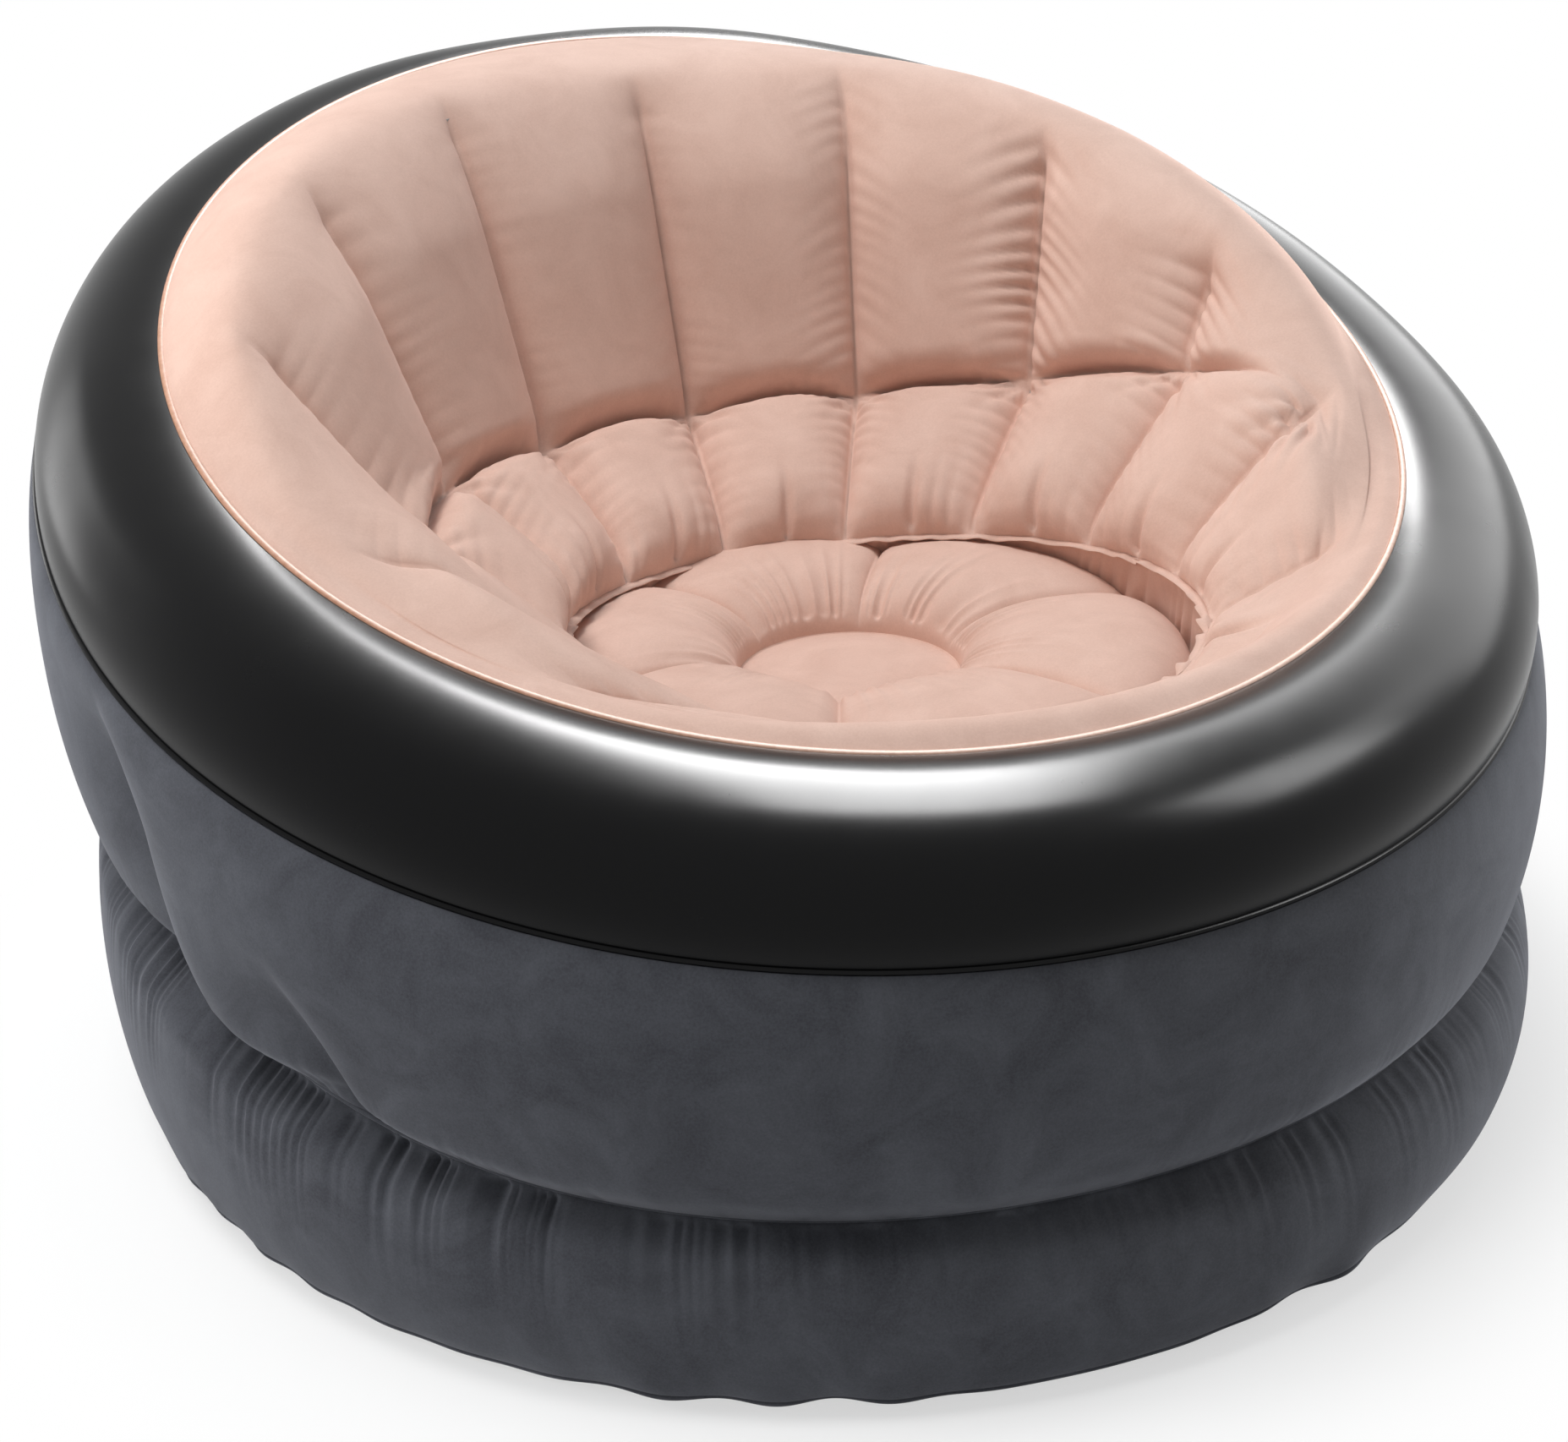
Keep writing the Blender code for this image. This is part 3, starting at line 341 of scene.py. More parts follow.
liner = {
    "columnsPerCell": 48,
    "rows": (30, 84, 64),          # rim to weld tops, on to the crease, on to the foot
    "rowCrowding": 0.10,           # rows lie closer towards the crease
    # rows over which the bends of the liner's path are rounded: how far, and round which rows
    "cornerBlur": 8.0, "cornerRows": 25.0, "bendBlur": 3.5, "bendRows": 9.0, "sideBlur": 6.0,
    "puff": 0.036,
    "fullAt": 0.34,                # share of the upper run at which a cell is full
    "sweepTurns": (0.9, 1.6),      # past the second turn the cell swells in one sweep from the rim
    "sweepPower": 0.75, "plateauPower": 0.8,
    "skinLift": 0.0022,
    "shortCell": 1.25,             # cells with little length are flatter
    "plateauPuff": 0.46,
    "crownPower": 2.3,
    "crownEnd": 0.54,
    "weldTops": {-4: 0.030, -3: 0.004, -2: 0.004, -1: -0.006, 0: 0.000, 1: -0.004,
                 2: 0.018, 3: 0.030, 4: 0.034, 5: 0.030},
    "otherTop": 0.030, "weldFade": 0.040, "weldStart": 0.35,
    # how far the crease sits below (+) or above the bend in the liner's path
    "creaseShift": {-4: 0.040, -3: 0.040, -2: 0.016, -1: 0.009, 0: 0.003, 1: -0.003, 2: -0.014,
                    3: -0.022, 4: -0.022},
    "creaseTop": 0.86,
    "creaseFoot": 0.20,
    "creaseTuck": 0.007,
    "footRound": 0.70,
    "puckerWave": 0.0175,
    "puckerReach": (0.030, 0.026),  # beside the upper cells and beside the lower ones
    "puckerHeight": 0.0070,
    "puckerWander": 0.027, "patchSizes": (0.047, 0.021), "puckerFade": 0.045,
    # how strongly each weld gathers the cloth beside its upper and its lower cells
    "puckers": {-4: (0.15, 0.25), -3: (0.22, 0.7), -2: (0.18, 1.1), -1: (0.10, 1.2), 0: (0.10, 1.2),
                1: (0.30, 1.1), 2: (1.2, 1.2), 3: (1.1, 1.2), 4: (1.0, 1.2), 5: (0.5, 0.5)},
    "otherPuckers": (0.35, 0.35), "seed": 7,
    "cellPuff": {-6: 0.75, -5: 0.65, -4: 0.62, -3: 0.95, 5: 0.85},
    "starCells": (-3, 5), "starFolds": 6.0, "starReach": 0.040, "starDepth": 0.0070,
    "footPleat": 0.0040, "footPleats": 84, "footReach": 0.026,
    "tuck": 0.010, "tuckMiddle": 0.52, "tuckWidth": 0.040, "tuckReach": 0.036,
    "creasePleat": 0.0030, "creasePleats": 98, "creaseReach": 0.018,
    "slowSwell": 0.0012,
}


def nearWeld(turns, cell):
    # cells away from a weld, from minus half the cells to plus half
    cells = chair["backCells"]
    return (turns / (fullTurn / cells) - cell + cells / 2) % cells - cells / 2


def pressPuckers(lift, turns, toWeld, toCrease, width, weld, rng):
    # puckers slant away from each weld, strongest just below the crease
    half, waveSize = chair["backCells"] // 2, liner["puckerWave"]
    upper = smoothStep(0.004, -0.004, toCrease)
    beside = 1 - np.exp(-(np.abs(toCrease) / 0.006) ** 2)
    for cell in range(-half + 1, half + 1):
        near = nearWeld(turns, cell)
        gap = np.abs(near)[:, None] * width
        phase = rng.uniform(0, fullTurn)
        other = np.sign(near)[:, None]
        beat = toWeld / waveSize + 0.4 * np.sin(toWeld / liner["puckerWander"] + phase + other)
        slant = (0.35 + 0.25 * np.sin(phase * 5)) * gap / waveSize
        wave = np.abs(np.sin(math.pi * (beat - slant) + phase + 0.6 * other))
        high, low = liner["puckers"].get(cell, liner["otherPuckers"])
        large, small = liner["patchSizes"]
        patch = np.clip(0.70 + 0.5 * np.sin(toWeld / large + 3 * phase + other)
                        * np.sin(toWeld / small + phase), 0.2, 1)
        below = np.clip(0.15 + 1.1 * np.exp(-np.maximum(toCrease, 0) / liner["puckerFade"]), 0, 1)
        strength = upper * high * patch + (1 - upper) * low * below * (0.5 + 0.5 * patch)
        reach = upper * liner["puckerReach"][0] + (1 - upper) * liner["puckerReach"][1]
        fade = np.exp(-(gap / reach) ** 1.4) * (1 - np.exp(-(gap / 0.003) ** 2))
        lift -= liner["puckerHeight"] * strength * (1 - wave) * fade * weld * beside


def pressStars(lift, turns, toCrease, width, rng):
    # short creases that run out from each crossing of a weld and the crease
    for cell in range(*liner["starCells"]):
        across, below = nearWeld(turns, cell)[:, None] * width, np.maximum(toCrease, 0)
        apart = np.hypot(across, below)
        bearing = np.arctan2(across, below + 0.004)
        phase = rng.uniform(0, fullTurn)
        bent = liner["starFolds"] * bearing + phase + 0.5 * np.sin(2 * bearing + phase)
        ray = 1 - np.abs(np.sin(bent))
        fade = np.exp(-(apart / liner["starReach"]) ** 1.6) * smoothStep(0.006, 0.014, apart)
        lift -= liner["starDepth"] * ray * fade * smoothStep(0.0, 0.006, toCrease)


def pressGathers(lift, turns, u, toCrease, toFoot, drawn):
    # gathers at the foot seam and along the crease, and a deep tuck in the middle of each cell
    footFade = np.exp(-toFoot / liner["footReach"]) * smoothStep(0, 0.004, toFoot)
    lift -= liner["footPleat"] * (1 - folds(turns, 21, liner["footPleats"]))[:, None] * footFade
    tuck = (np.exp(-((u - liner["tuckMiddle"]) / liner["tuckWidth"]) ** 2)[:, None]
            * np.exp(-(toFoot / liner["tuckReach"]) ** 2))
    lift -= liner["tuck"] * tuck * smoothStep(0, 0.006, toFoot)
    creaseFade = np.exp(-(np.abs(toCrease) / liner["creaseReach"]) ** 1.2) * drawn[:, None]
    pleats = folds(turns, 33, liner["creasePleats"])
    lift -= liner["creasePleat"] * (1 - pleats)[:, None] * creaseFade
    lift -= (liner["creaseTuck"] * np.exp(-(toCrease / 0.005) ** 2) * drawn[:, None]
             * smoothStep(0.08, 0.2, np.minimum(u, 1 - u))[:, None])


def linerGrid():
    cells = chair["backCells"]
    columns = cells * liner["columnsPerCell"]
    turns = np.arange(columns) / columns * fullTurn
    rim, plateau = ringAt("rim", turns), ringAt("plateau", turns)
    crease, foot = ringAt("crease", turns), ringAt("foot", turns)
    first, second, third = liner["rows"]
    edgeRows = np.linspace(0, 1, first, endpoint=False)
    upperRows = np.linspace(0, 1, second, endpoint=False)
    upperRows = upperRows + liner["rowCrowding"] * np.sin(math.pi * upperRows) ** 2 * upperRows
    lowerRows = np.linspace(0, 1, third)
    lowerRows = lowerRows - (liner["rowCrowding"] * np.sin(math.pi * lowerRows) ** 2
                             * (1 - lowerRows))

    def between(start, end, shares):
        return start[:, None] + (end - start)[:, None] * shares[None, :, None]

    valley = np.concatenate([between(rim, plateau, edgeRows), between(plateau, crease, upperRows),
                             between(crease, foot, lowerRows)], 1)
    rowCount = valley.shape[1]
    rowIndex = np.arange(rowCount)
    corner = np.exp(-((rowIndex - first) / liner["cornerRows"]) ** 8)
    valley = blurRows(valley, liner["cornerBlur"], corner)
    bend = np.exp(-((rowIndex - first - second) / liner["bendRows"]) ** 4)
    valley = blurRows(valley, liner["bendBlur"], bend)

    steps = np.linalg.norm(np.diff(valley, axis=1), axis=2)
    run = np.concatenate([np.zeros((columns, 1)), np.cumsum(steps, 1)], 1)
    toWeld = run - run[:, first][:, None]
    toCrease = run - run[:, first + second][:, None]
    toFoot = run[:, -1][:, None] - run
    quilted = run[:, -1] - run[:, first]
    slack = quilted / quilted[0]

    down = np.gradient(valley, axis=1)
    around = np.roll(valley, -1, 0) - np.roll(valley, 1, 0)
    side = unit(np.cross(unit(down), unit(around)))
    side *= np.sign(side[:, -1, 2].mean() + side[:, first, 2].mean())
    side = unit(blurRows(side, liner["sideBlur"], np.ones(rowCount)))

    cellTurn = fullTurn / cells
    u = (turns / cellTurn) % 1.0
    crown = (1 - np.abs(2 * u - 1) ** liner["crownPower"]) ** liner["crownEnd"]
    fromBack = np.abs((turns + math.pi) % fullTurn - math.pi)
    away = fromBack / cellTurn
    drawn = 1 - smoothStep(chair["creaseHalfCells"] - 0.1, chair["creaseHalfCells"] + 0.9, away)

    # each weld starts at its own place below the plateau, and the crease keeps its own line
    signed = nearWeld(turns, 0)
    welds = np.arange(-cells // 2, cells // 2 + 1)
    tops = [liner["weldTops"].get(k, liner["otherTop"]) for k in welds]
    shifts = [liner["creaseShift"].get(k, 0.0) for k in welds]
    top = np.interp(signed, welds, tops)[:, None]
    shift = np.interp(signed, welds, shifts)[:, None]
    upperRun = toWeld[:, first + second][:, None] + shift
    toCrease = toCrease - shift

    plateauPuff = liner["plateauPuff"]
    rise = plateauPuff + (1 - plateauPuff) * smoothStep(0, liner["fullAt"], toWeld / upperRun)
    rise[:, :first] = plateauPuff * np.sin(edgeRows * math.pi / 2) ** liner["plateauPower"]
    sweep = np.clip(run / (run[:, first][:, None] + liner["fullAt"] * upperRun), 0, 1)
    sideShare = smoothStep(*liner["sweepTurns"], fromBack)[:, None]
    rise += (np.sin(sweep * math.pi / 2) ** liner["sweepPower"] - rise) * sideShare
    # shares of the way down an upper cell and down a lower cell, and the round ends of both
    upper, lower = 1 + toCrease / upperRun, toCrease / (toCrease + toFoot)
    creaseTop, footRound = liner["creaseTop"], liner["footRound"]
    ending = np.sqrt(1 - np.clip((upper - creaseTop) / (1 - creaseTop), 0, 1) ** 2)
    starting = np.sqrt(1 - np.clip(1 - lower / liner["creaseFoot"], 0, 1) ** 2)
    closing = np.sqrt(1 - np.clip((lower - footRound) / (1 - footRound), 0, 1) ** 2)
    above = toCrease < 0
    envelope = np.where(above, rise * (1 - drawn[:, None] * (1 - ending)),
                        closing * (1 - drawn[:, None] * (1 - starting)))

    weld = smoothStep(0, 1, (toWeld - top) / liner["weldFade"] + liner["weldStart"])
    fullness = np.array([liner["cellPuff"].get(k - cells // 2, 1.0) for k in range(cells)])
    middles = np.arange(cells) - cells // 2 + 0.5
    blown = np.interp(signed, middles, fullness, period=cells)
    puff = liner["puff"] * blown * np.minimum(1, liner["shortCell"] * slack)
    lift = puff[:, None] * envelope * (1 - weld * (1 - crown[:, None]))
    lift += liner["skinLift"] * smoothStep(0, 0.02, run) * smoothStep(0, 0.012, toFoot)

    width = np.linalg.norm(np.roll(valley, -1, 0) - valley, axis=2) * liner["columnsPerCell"]
    rng = np.random.RandomState(liner["seed"])
    pressPuckers(lift, turns, toWeld, toCrease, width, weld, rng)
    pressStars(lift, turns, toCrease, width, rng)
    pressGathers(lift, turns, u, toCrease, toFoot, drawn)
    slow = softNoise(turns, 5, 3, 9)[:, None] * liner["slowSwell"] * np.clip(toWeld / 0.1, -1, 1)
    lift += slow * envelope

    points = valley + side * lift[..., None]
    points[:, 0] = rim + unit(points[:, 1] - rim) * chair["rimWeldStep"]
    return turns, points


linerTurns, linerPoints = linerGrid()
linerPiece = gridObject("quiltedLiner", linerPoints)
finishPiece(linerPiece, blush, "flocked_vinyl_blush", "quilted_liner", padded=True)
print("liner made")


# foot flange of the liner, skirt and seat

skirt = {
    "rows": 26, "pleats": 96, "pleatDepth": 0.0048, "bulge": 0.002,
    "flange": 0.0065, "flangeThickness": 0.0008, "flangeWaver": 0.16, "flangeBow": 0.0011,
    "flangeSlope": -0.25,
}

footPoints = ringAt("foot", linerTurns)
waver = softNoise(linerTurns, 41, 20, 70)
reachIn = -outwardAt("foot", linerTurns) + np.array([0, 0, skirt["flangeSlope"]])
flangeRows = []
for along, up in ((-0.2, -0.5), (-0.2, 0.5), (1.0, 0.5), (1.0, -0.5), (-0.2, -0.5)):
    lip = skirt["flange"] * along * (1 + skirt["flangeWaver"] * waver)
    bow = skirt["flangeBow"] * waver * max(along, 0) + skirt["flangeThickness"] * up
    flangeRows.append(footPoints + reachIn * lip[:, None] + np.stack([0 * bow, 0 * bow, bow], -1))
flange = gridObject("linerFootWeld", np.stack(flangeRows, 1))
finishPiece(flange, blush, "welded_edge_tan", "liner_foot_weld")

skirtLow = ringAt("skirt", linerTurns)
shares = np.linspace(0, 1, skirt["rows"])
skirtOut = outwardAt("skirt", linerTurns)
pleat = folds(linerTurns, 51, skirt["pleats"], 1.4, 0.6)
wall = footPoints[:, None] + (skirtLow - footPoints)[:, None] * shares[None, :, None]
push = (skirt["bulge"] * np.sin(math.pi * shares)[None]
        - skirt["pleatDepth"] * pleat[:, None] * np.sin(math.pi * shares * 0.9 + 0.25)[None])
wall += skirtOut[:, None] * push[..., None]
skirtPiece = gridObject("seatSkirtWall", wall)
finishPiece(skirtPiece, blush, "flocked_vinyl_blush", "seat_skirt_wall", padded=True)

seat = {
    "columnsPerCell": 96,
    "radius": 0.240, "discRadius": 0.083, "centre": -0.085, "discCentre": -0.065,
    "discHeight": 0.283, "crest": 0.049, "edgeHeight": 0.238, "edgeStep": 0.012,
    "sideShift": 0.006, "undercut": -0.25, "innerRows": 36, "outerRows": 44,
    "crestPower": 0.8, "reachPower": 0.75, "shoulderPower": 0.44,
    "crownPower": 2.2, "crownEnd": 0.6,
    "weldDip": 0.016, "groove": 0.0030, "grooveWidth": 0.0040,
    "innerFold": 0.0075, "innerFolds": 60, "outerFold": 0.0035, "outerFolds": 96,
    "discReach": 0.034, "scallop": 0.006, "edgePull": 0.12,
    "discRows": 22, "discCrown": 0.0035, "discFold": 0.0012, "discFolds": 40,
}


def seatGrid():
    columns = chair["seatCells"] * seat["columnsPerCell"]
    turns = np.arange(columns) / columns * fullTurn
    # from the disc over the crest and down the outside
    quarter = math.pi / 2
    angles = np.concatenate([np.linspace(math.pi, quarter, seat["innerRows"], endpoint=False),
                             np.linspace(quarter, seat["undercut"], seat["outerRows"])])
    sine, cosine = np.sin(angles), np.cos(angles)
    middle = (seat["radius"] + seat["discRadius"]) / 2
    half = (seat["radius"] - seat["discRadius"]) / 2
    inner = angles > quarter
    reach = middle + half * np.sign(cosine) * np.where(
        inner, np.abs(cosine), np.abs(cosine) ** seat["reachPower"])
    fromDisc = reach - seat["discRadius"]
    outShare = np.clip(fromDisc / (2 * half), 0, 1)
    crestZ = seat["discHeight"] + seat["crest"]
    edgeZ = seat["edgeHeight"] + seat["edgeStep"]
    shoulder = np.sign(sine) * np.abs(sine) ** seat["shoulderPower"]
    bow = np.abs(sine) ** seat["crestPower"]
    height = np.where(inner, seat["discHeight"] + seat["crest"] * bow,
                      edgeZ + (crestZ - edgeZ) * shoulder)

    u = ((turns / fullTurn * chair["seatCells"]) - 0.5) % 1.0
    crown = (1 - np.abs(2 * u - 1) ** seat["crownPower"]) ** seat["crownEnd"]
    cellWidth = fullTurn / chair["seatCells"] * reach
    fromWeld = np.minimum(u, 1 - u)[:, None] * cellWidth[None]
    over = np.clip(np.sin(np.clip(angles, 0, math.pi)), 0, 1) ** 0.7
    dip = seat["weldDip"] * (1 - crown)[:, None] * over[None]
    dip = dip + seat["groove"] * np.exp(-(fromWeld / seat["grooveWidth"]) ** 1.2) * over[None]
    nearDisc = np.exp(-fromDisc / seat["discReach"]) * smoothStep(0, 0.006, fromDisc)
    innerFolds = folds(turns, 61, seat["innerFolds"], 1.3, 0.6)[:, None]
    dip = dip + seat["innerFold"] * innerFolds * nearDisc[None]
    inward = seat["scallop"] * (1 - crown)[:, None] * smoothStep(1.4, 0.2, angles)[None]
    outerFolds = folds(turns, 71, seat["outerFolds"], 1.2, 0.5)[:, None]
    inward = inward + seat["outerFold"] * outerFolds * smoothStep(0.9, -0.1, angles)[None]

    radius = reach[None] - inward
    shift = seat["discCentre"] + (seat["centre"] - seat["discCentre"]) * outShare
    x = radius * np.sin(turns)[:, None] + seat["sideShift"] * outShare[None]
    y = shift[None] + radius * np.cos(turns)[:, None] + chair["shift"]
    z = height[None] - dip
    return turns, np.stack([x, y, z], -1)[:, ::-1]


seatTurns, seatPoints = seatGrid()
edge = ringAt("skirt", seatTurns + skirtUntwist)
edge = edge + (seatPoints[:, 0] - edge) * seat["edgePull"]
seatPoints = np.concatenate([edge[:, None], seatPoints], 1)
seatPiece = gridObject("seatRing", seatPoints)
finishPiece(seatPiece, blush, "flocked_vinyl_blush", "seat_ring_panel", padded=True)

discEdge = ringAt("disc", seatTurns)
discMiddle = discEdge.mean(axis=0)
shares = np.linspace(1, 0.03, seat["discRows"])
spread = discMiddle + (discEdge - discMiddle)[:, None] * shares[None, :, None]
spread[..., 2] += (seat["discCrown"] * (1 - shares ** 2.5))[None]
spread[..., 2] -= (seat["discFold"] * folds(seatTurns, 81, seat["discFolds"], 1.0, 0.3)[:, None]
                   * np.exp(-((1 - shares) / 0.12) ** 2)[None] * (shares < 1)[None])
discPiece = gridObject("seatCentre", spread, cap=True)
finishPiece(discPiece, blush, "flocked_vinyl_blush", "seat_centre_panel", padded=True)


def roundSection(radius, sides=10):
    return [(radius * math.cos(i / sides * fullTurn), radius * math.sin(i / sides * fullTurn))
            for i in range(sides)]


# radius of the welded bead on each curve
beads = {"disc": 0.0013, "skirt": 0.0020, "floor": 0.0022, "waist": 0.0022, "seam": 0.0024,
         "rim": 0.0026}


def seamPiece(name, ring, turns, material, slotName, node, out=0.0, up=0.0):
    outward = outwardAt(ring, turns)
    centres = ringAt(ring, turns) + outward * out + np.array([0, 0, up])
    piece = tubeObject(name, centres, outward, roundSection(beads[ring]))
    return finishPiece(piece, material, slotName, node)


seamPiece("seatDiscWeld", "disc", seatTurns, blush, "flocked_vinyl_blush", "seat_disc_weld",
          up=-0.0006)
seamPiece("skirtFootWeld", "skirt", linerTurns, blush, "flocked_vinyl_blush", "skirt_foot_weld")
print("seat made")


# outside: bottom, base, wall, band and their welds

outside = {
    "columns": 1440, "wallRows": 68, "bandRows": 56, "baseRows": 60,
    "baseBulge": 0.021, "basePower": 0.62, "wallBulge": 0.020, "wallPower": 0.58,
    "bandFrontBulge": 0.045, "bandBackBulge": 0.023, "bandGrowth": 1.5,
    "baseGather": 0.0070, "baseGathers": 340, "baseGatherReach": 0.030,
    "wallGather": 0.0022, "wallGathers": 300, "wallGatherReach": 0.020,
    "evenGather": 0.30, "leftGatherTurn": -118, "leftGatherSpread": 38,
    "floorRipple": 0.0019, "floorRipples": 62, "rippleReach": 0.014,
    "baseSwell": 0.0016, "wallSwell": 0.0014, "bandSwell": 0.0009,
}
outTurns = np.arange(outside["columns"]) / outside["columns"] * fullTurn


def panel(lowRing, highRing, shares, lift):
    # a panel between two curves, puffed out by lift[column, row]
    low = ringAt(lowRing, outTurns)
    chord = ringAt(highRing, outTurns) - low
    side = squareTo(chord, outwardAt(lowRing, outTurns))
    points = low[:, None] + chord[:, None] * shares[None, :, None]
    return points + side[:, None] * lift[..., None]


def pillow(shares, bulge, power):
    # the even swell of a panel between its two welds, the same at every turn
    swell = bulge * np.clip(np.sin(math.pi * shares), 0, 1) ** power
    return swell[None] * np.ones((len(outTurns), 1))


def closeAtEnds(rowCount):
    # shares of the way from one weld to the next, closer together near both
    return (1 - np.cos(np.linspace(0, math.pi, rowCount))) / 2


baseShares = closeAtEnds(outside["baseRows"])
baseLift = pillow(baseShares, outside["baseBulge"], outside["basePower"])
baseLift += (waistDraw(outTurns)[:, None] * baseShares[None]
             * smoothStep(0, 0.20, 1 - baseShares)[None])
baseHeight = np.linalg.norm(ringAt("waist", outTurns) - ringAt("floor", outTurns), axis=1)
fromWaist = (1 - baseShares)[None] * baseHeight[:, None]
fromFloor = baseShares[None] * baseHeight[:, None]
fromLeft = signedTurn(outTurns, outside["leftGatherTurn"]) / outside["leftGatherSpread"]
gatherStrength = (outside["evenGather"] + np.exp(-fromLeft ** 2))[:, None]
gather = folds(outTurns, 91, outside["baseGathers"], 1.5, 0.55)[:, None]
baseLift -= (outside["baseGather"] * gatherStrength * gather
             * np.exp(-(fromWaist / outside["baseGatherReach"]) ** 1.3)
             * smoothStep(0, 0.006, fromWaist))
ripple = softNoise(outTurns, 95, 12, outside["floorRipples"])[:, None]
ripple = ripple * np.clip(0.75 + 0.6 * softNoise(outTurns, 96, 3, 14), 0.1, 1.8)[:, None]
baseLift += outside["floorRipple"] * ripple * np.exp(-fromFloor / outside["rippleReach"])
baseLift += (outside["baseSwell"] * softNoise(outTurns, 97, 2, 7)[:, None]
             * np.sin(math.pi * baseShares)[None])
basePoints = panel("floor", "waist", baseShares, baseLift)
basePiece = gridObject("baseSideWall", basePoints)
finishPiece(basePiece, charcoal, "flocked_vinyl_charcoal", "base_side_wall", padded=True)

bottomEdge = basePoints[:, 0]
bottom = {"flatShare": 0.951, "kneeHeight": 0.0022}
inner = bottomEdge * np.array([bottom["flatShare"], bottom["flatShare"], 0.0])
knee = (bottomEdge + inner) / 2 * np.array([1, 1, 0]) + np.array([0, 0, bottom["kneeHeight"]])
flatMiddle = np.array([0.0, chair["shift"], 0.0])
rowsOut = [flatMiddle + (inner - flatMiddle) * share for share in (0.03, 0.35, 0.7, 1.0)]
bottomPiece = gridObject("bottomPanel", np.stack([*rowsOut, knee, bottomEdge], 1))
finishPiece(bottomPiece, charcoal, "flocked_vinyl_charcoal", "bottom_panel")

wallShares = closeAtEnds(outside["wallRows"])
wallLift = pillow(wallShares, outside["wallBulge"], outside["wallPower"])
wallLift += (waistDraw(outTurns)[:, None] * (1 - wallShares)[None]
             * smoothStep(0, 0.16, wallShares)[None])
# two soft buckles at the left front, each a sharp fold with a round roll to its left
dents = [
    {"turn": -124.5, "lean": 7.5, "left": 4.5, "right": 1.7, "depth": 0.017, "high": 0.62,
     "roll": 0.006},
    {"turn": -107.0, "lean": 5.0, "left": 6.5, "right": 3.2, "depth": 0.024, "high": 1.00,
     "roll": 0.0},
]
for dent in dents:
    line = dent["turn"] + dent["lean"] * wallShares
    off = signedTurn(outTurns[:, None], line[None])
    along = (smoothStep(-0.02, 0.10, wallShares)
             * (1 - smoothStep(dent["high"] - 0.40, dent["high"], wallShares)))[None]
    soft = np.sqrt(off ** 2 + 0.25) - 0.5
    hollow = np.where(off > 0, np.exp(-soft / dent["left"]), np.exp(-soft / dent["right"]))
    roll = np.exp(-((off - 2.2 * dent["left"]) / (1.3 * dent["left"])) ** 2)
    wallLift += along * (dent["roll"] * roll - dent["depth"] * hollow)
wallHeight = np.linalg.norm(ringAt("seam", outTurns) - ringAt("waist", outTurns), axis=1)
aboveWaist = wallShares[None] * wallHeight[:, None]
wallGather = folds(outTurns, 101, outside["wallGathers"], 1.5, 0.5)[:, None]
wallLift -= (outside["wallGather"] * gatherStrength * wallGather
             * np.exp(-aboveWaist / outside["wallGatherReach"]) * smoothStep(0, 0.006, aboveWaist))
wallLift += (outside["wallSwell"] * softNoise(outTurns, 105, 2, 8)[:, None]
             * np.sin(math.pi * wallShares)[None])
wallPoints = panel("waist", "seam", wallShares, wallLift)

# the wall lies flat round the valve and ends at its flange
turnJoint = next(j for j in frame["record"]["behaviour"]["joints"] if j["name"] == "insert_turn")
valve = {"centre": np.array(turnJoint["pos_m"]), "axis": unit(np.array(turnJoint["axis"])),
         "opening": 0.0273, "rimReach": 0.012, "rimHeight": 0.02, "flat": 0.030, "fade": 0.075,
         "through": 0.1}
fromValve = wallPoints - valve["centre"]
above = fromValve @ valve["axis"]
aside = np.linalg.norm(fromValve - above[..., None] * valve["axis"], axis=-1)
thisSide = np.abs(above) < valve["through"]
near = (1 - smoothStep(valve["flat"], valve["fade"], aside)) * thisSide
wallPoints = wallPoints - valve["axis"] * (above * near)[..., None]
wallPiece = gridObject("outerWall", wallPoints)
work = bmesh.new()
work.from_mesh(wallPiece.data)
work.verts.ensure_lookup_table()
overOpening = np.where(thisSide, aside < valve["opening"], False).reshape(-1)
gone = [work.verts[i] for i in np.where(overOpening)[0]]
bmesh.ops.delete(work, geom=gone, context="VERTS")
for vertex in work.verts:
    if vertex.is_boundary:
        offset = np.array(vertex.co) - valve["centre"]
        up = offset @ valve["axis"]
        level = offset - up * valve["axis"]
        atRim = np.linalg.norm(level) < valve["opening"] + valve["rimReach"]
        if abs(up) < valve["rimHeight"] and atRim:
            vertex.co = Vector(valve["centre"] + unit(level) * valve["opening"])
work.to_mesh(wallPiece.data)
work.free()
wallPiece.data.shade_smooth()
finishPiece(wallPiece, charcoal, "flocked_vinyl_charcoal", "outer_wall", padded=True)

bandShares = np.linspace(0, 1, outside["bandRows"])
low = ringAt("seam", outTurns)
chord = ringAt("rim", outTurns) - low
side = squareTo(chord, outwardAt("rim", outTurns))
half = np.linalg.norm(chord, axis=1) / 2
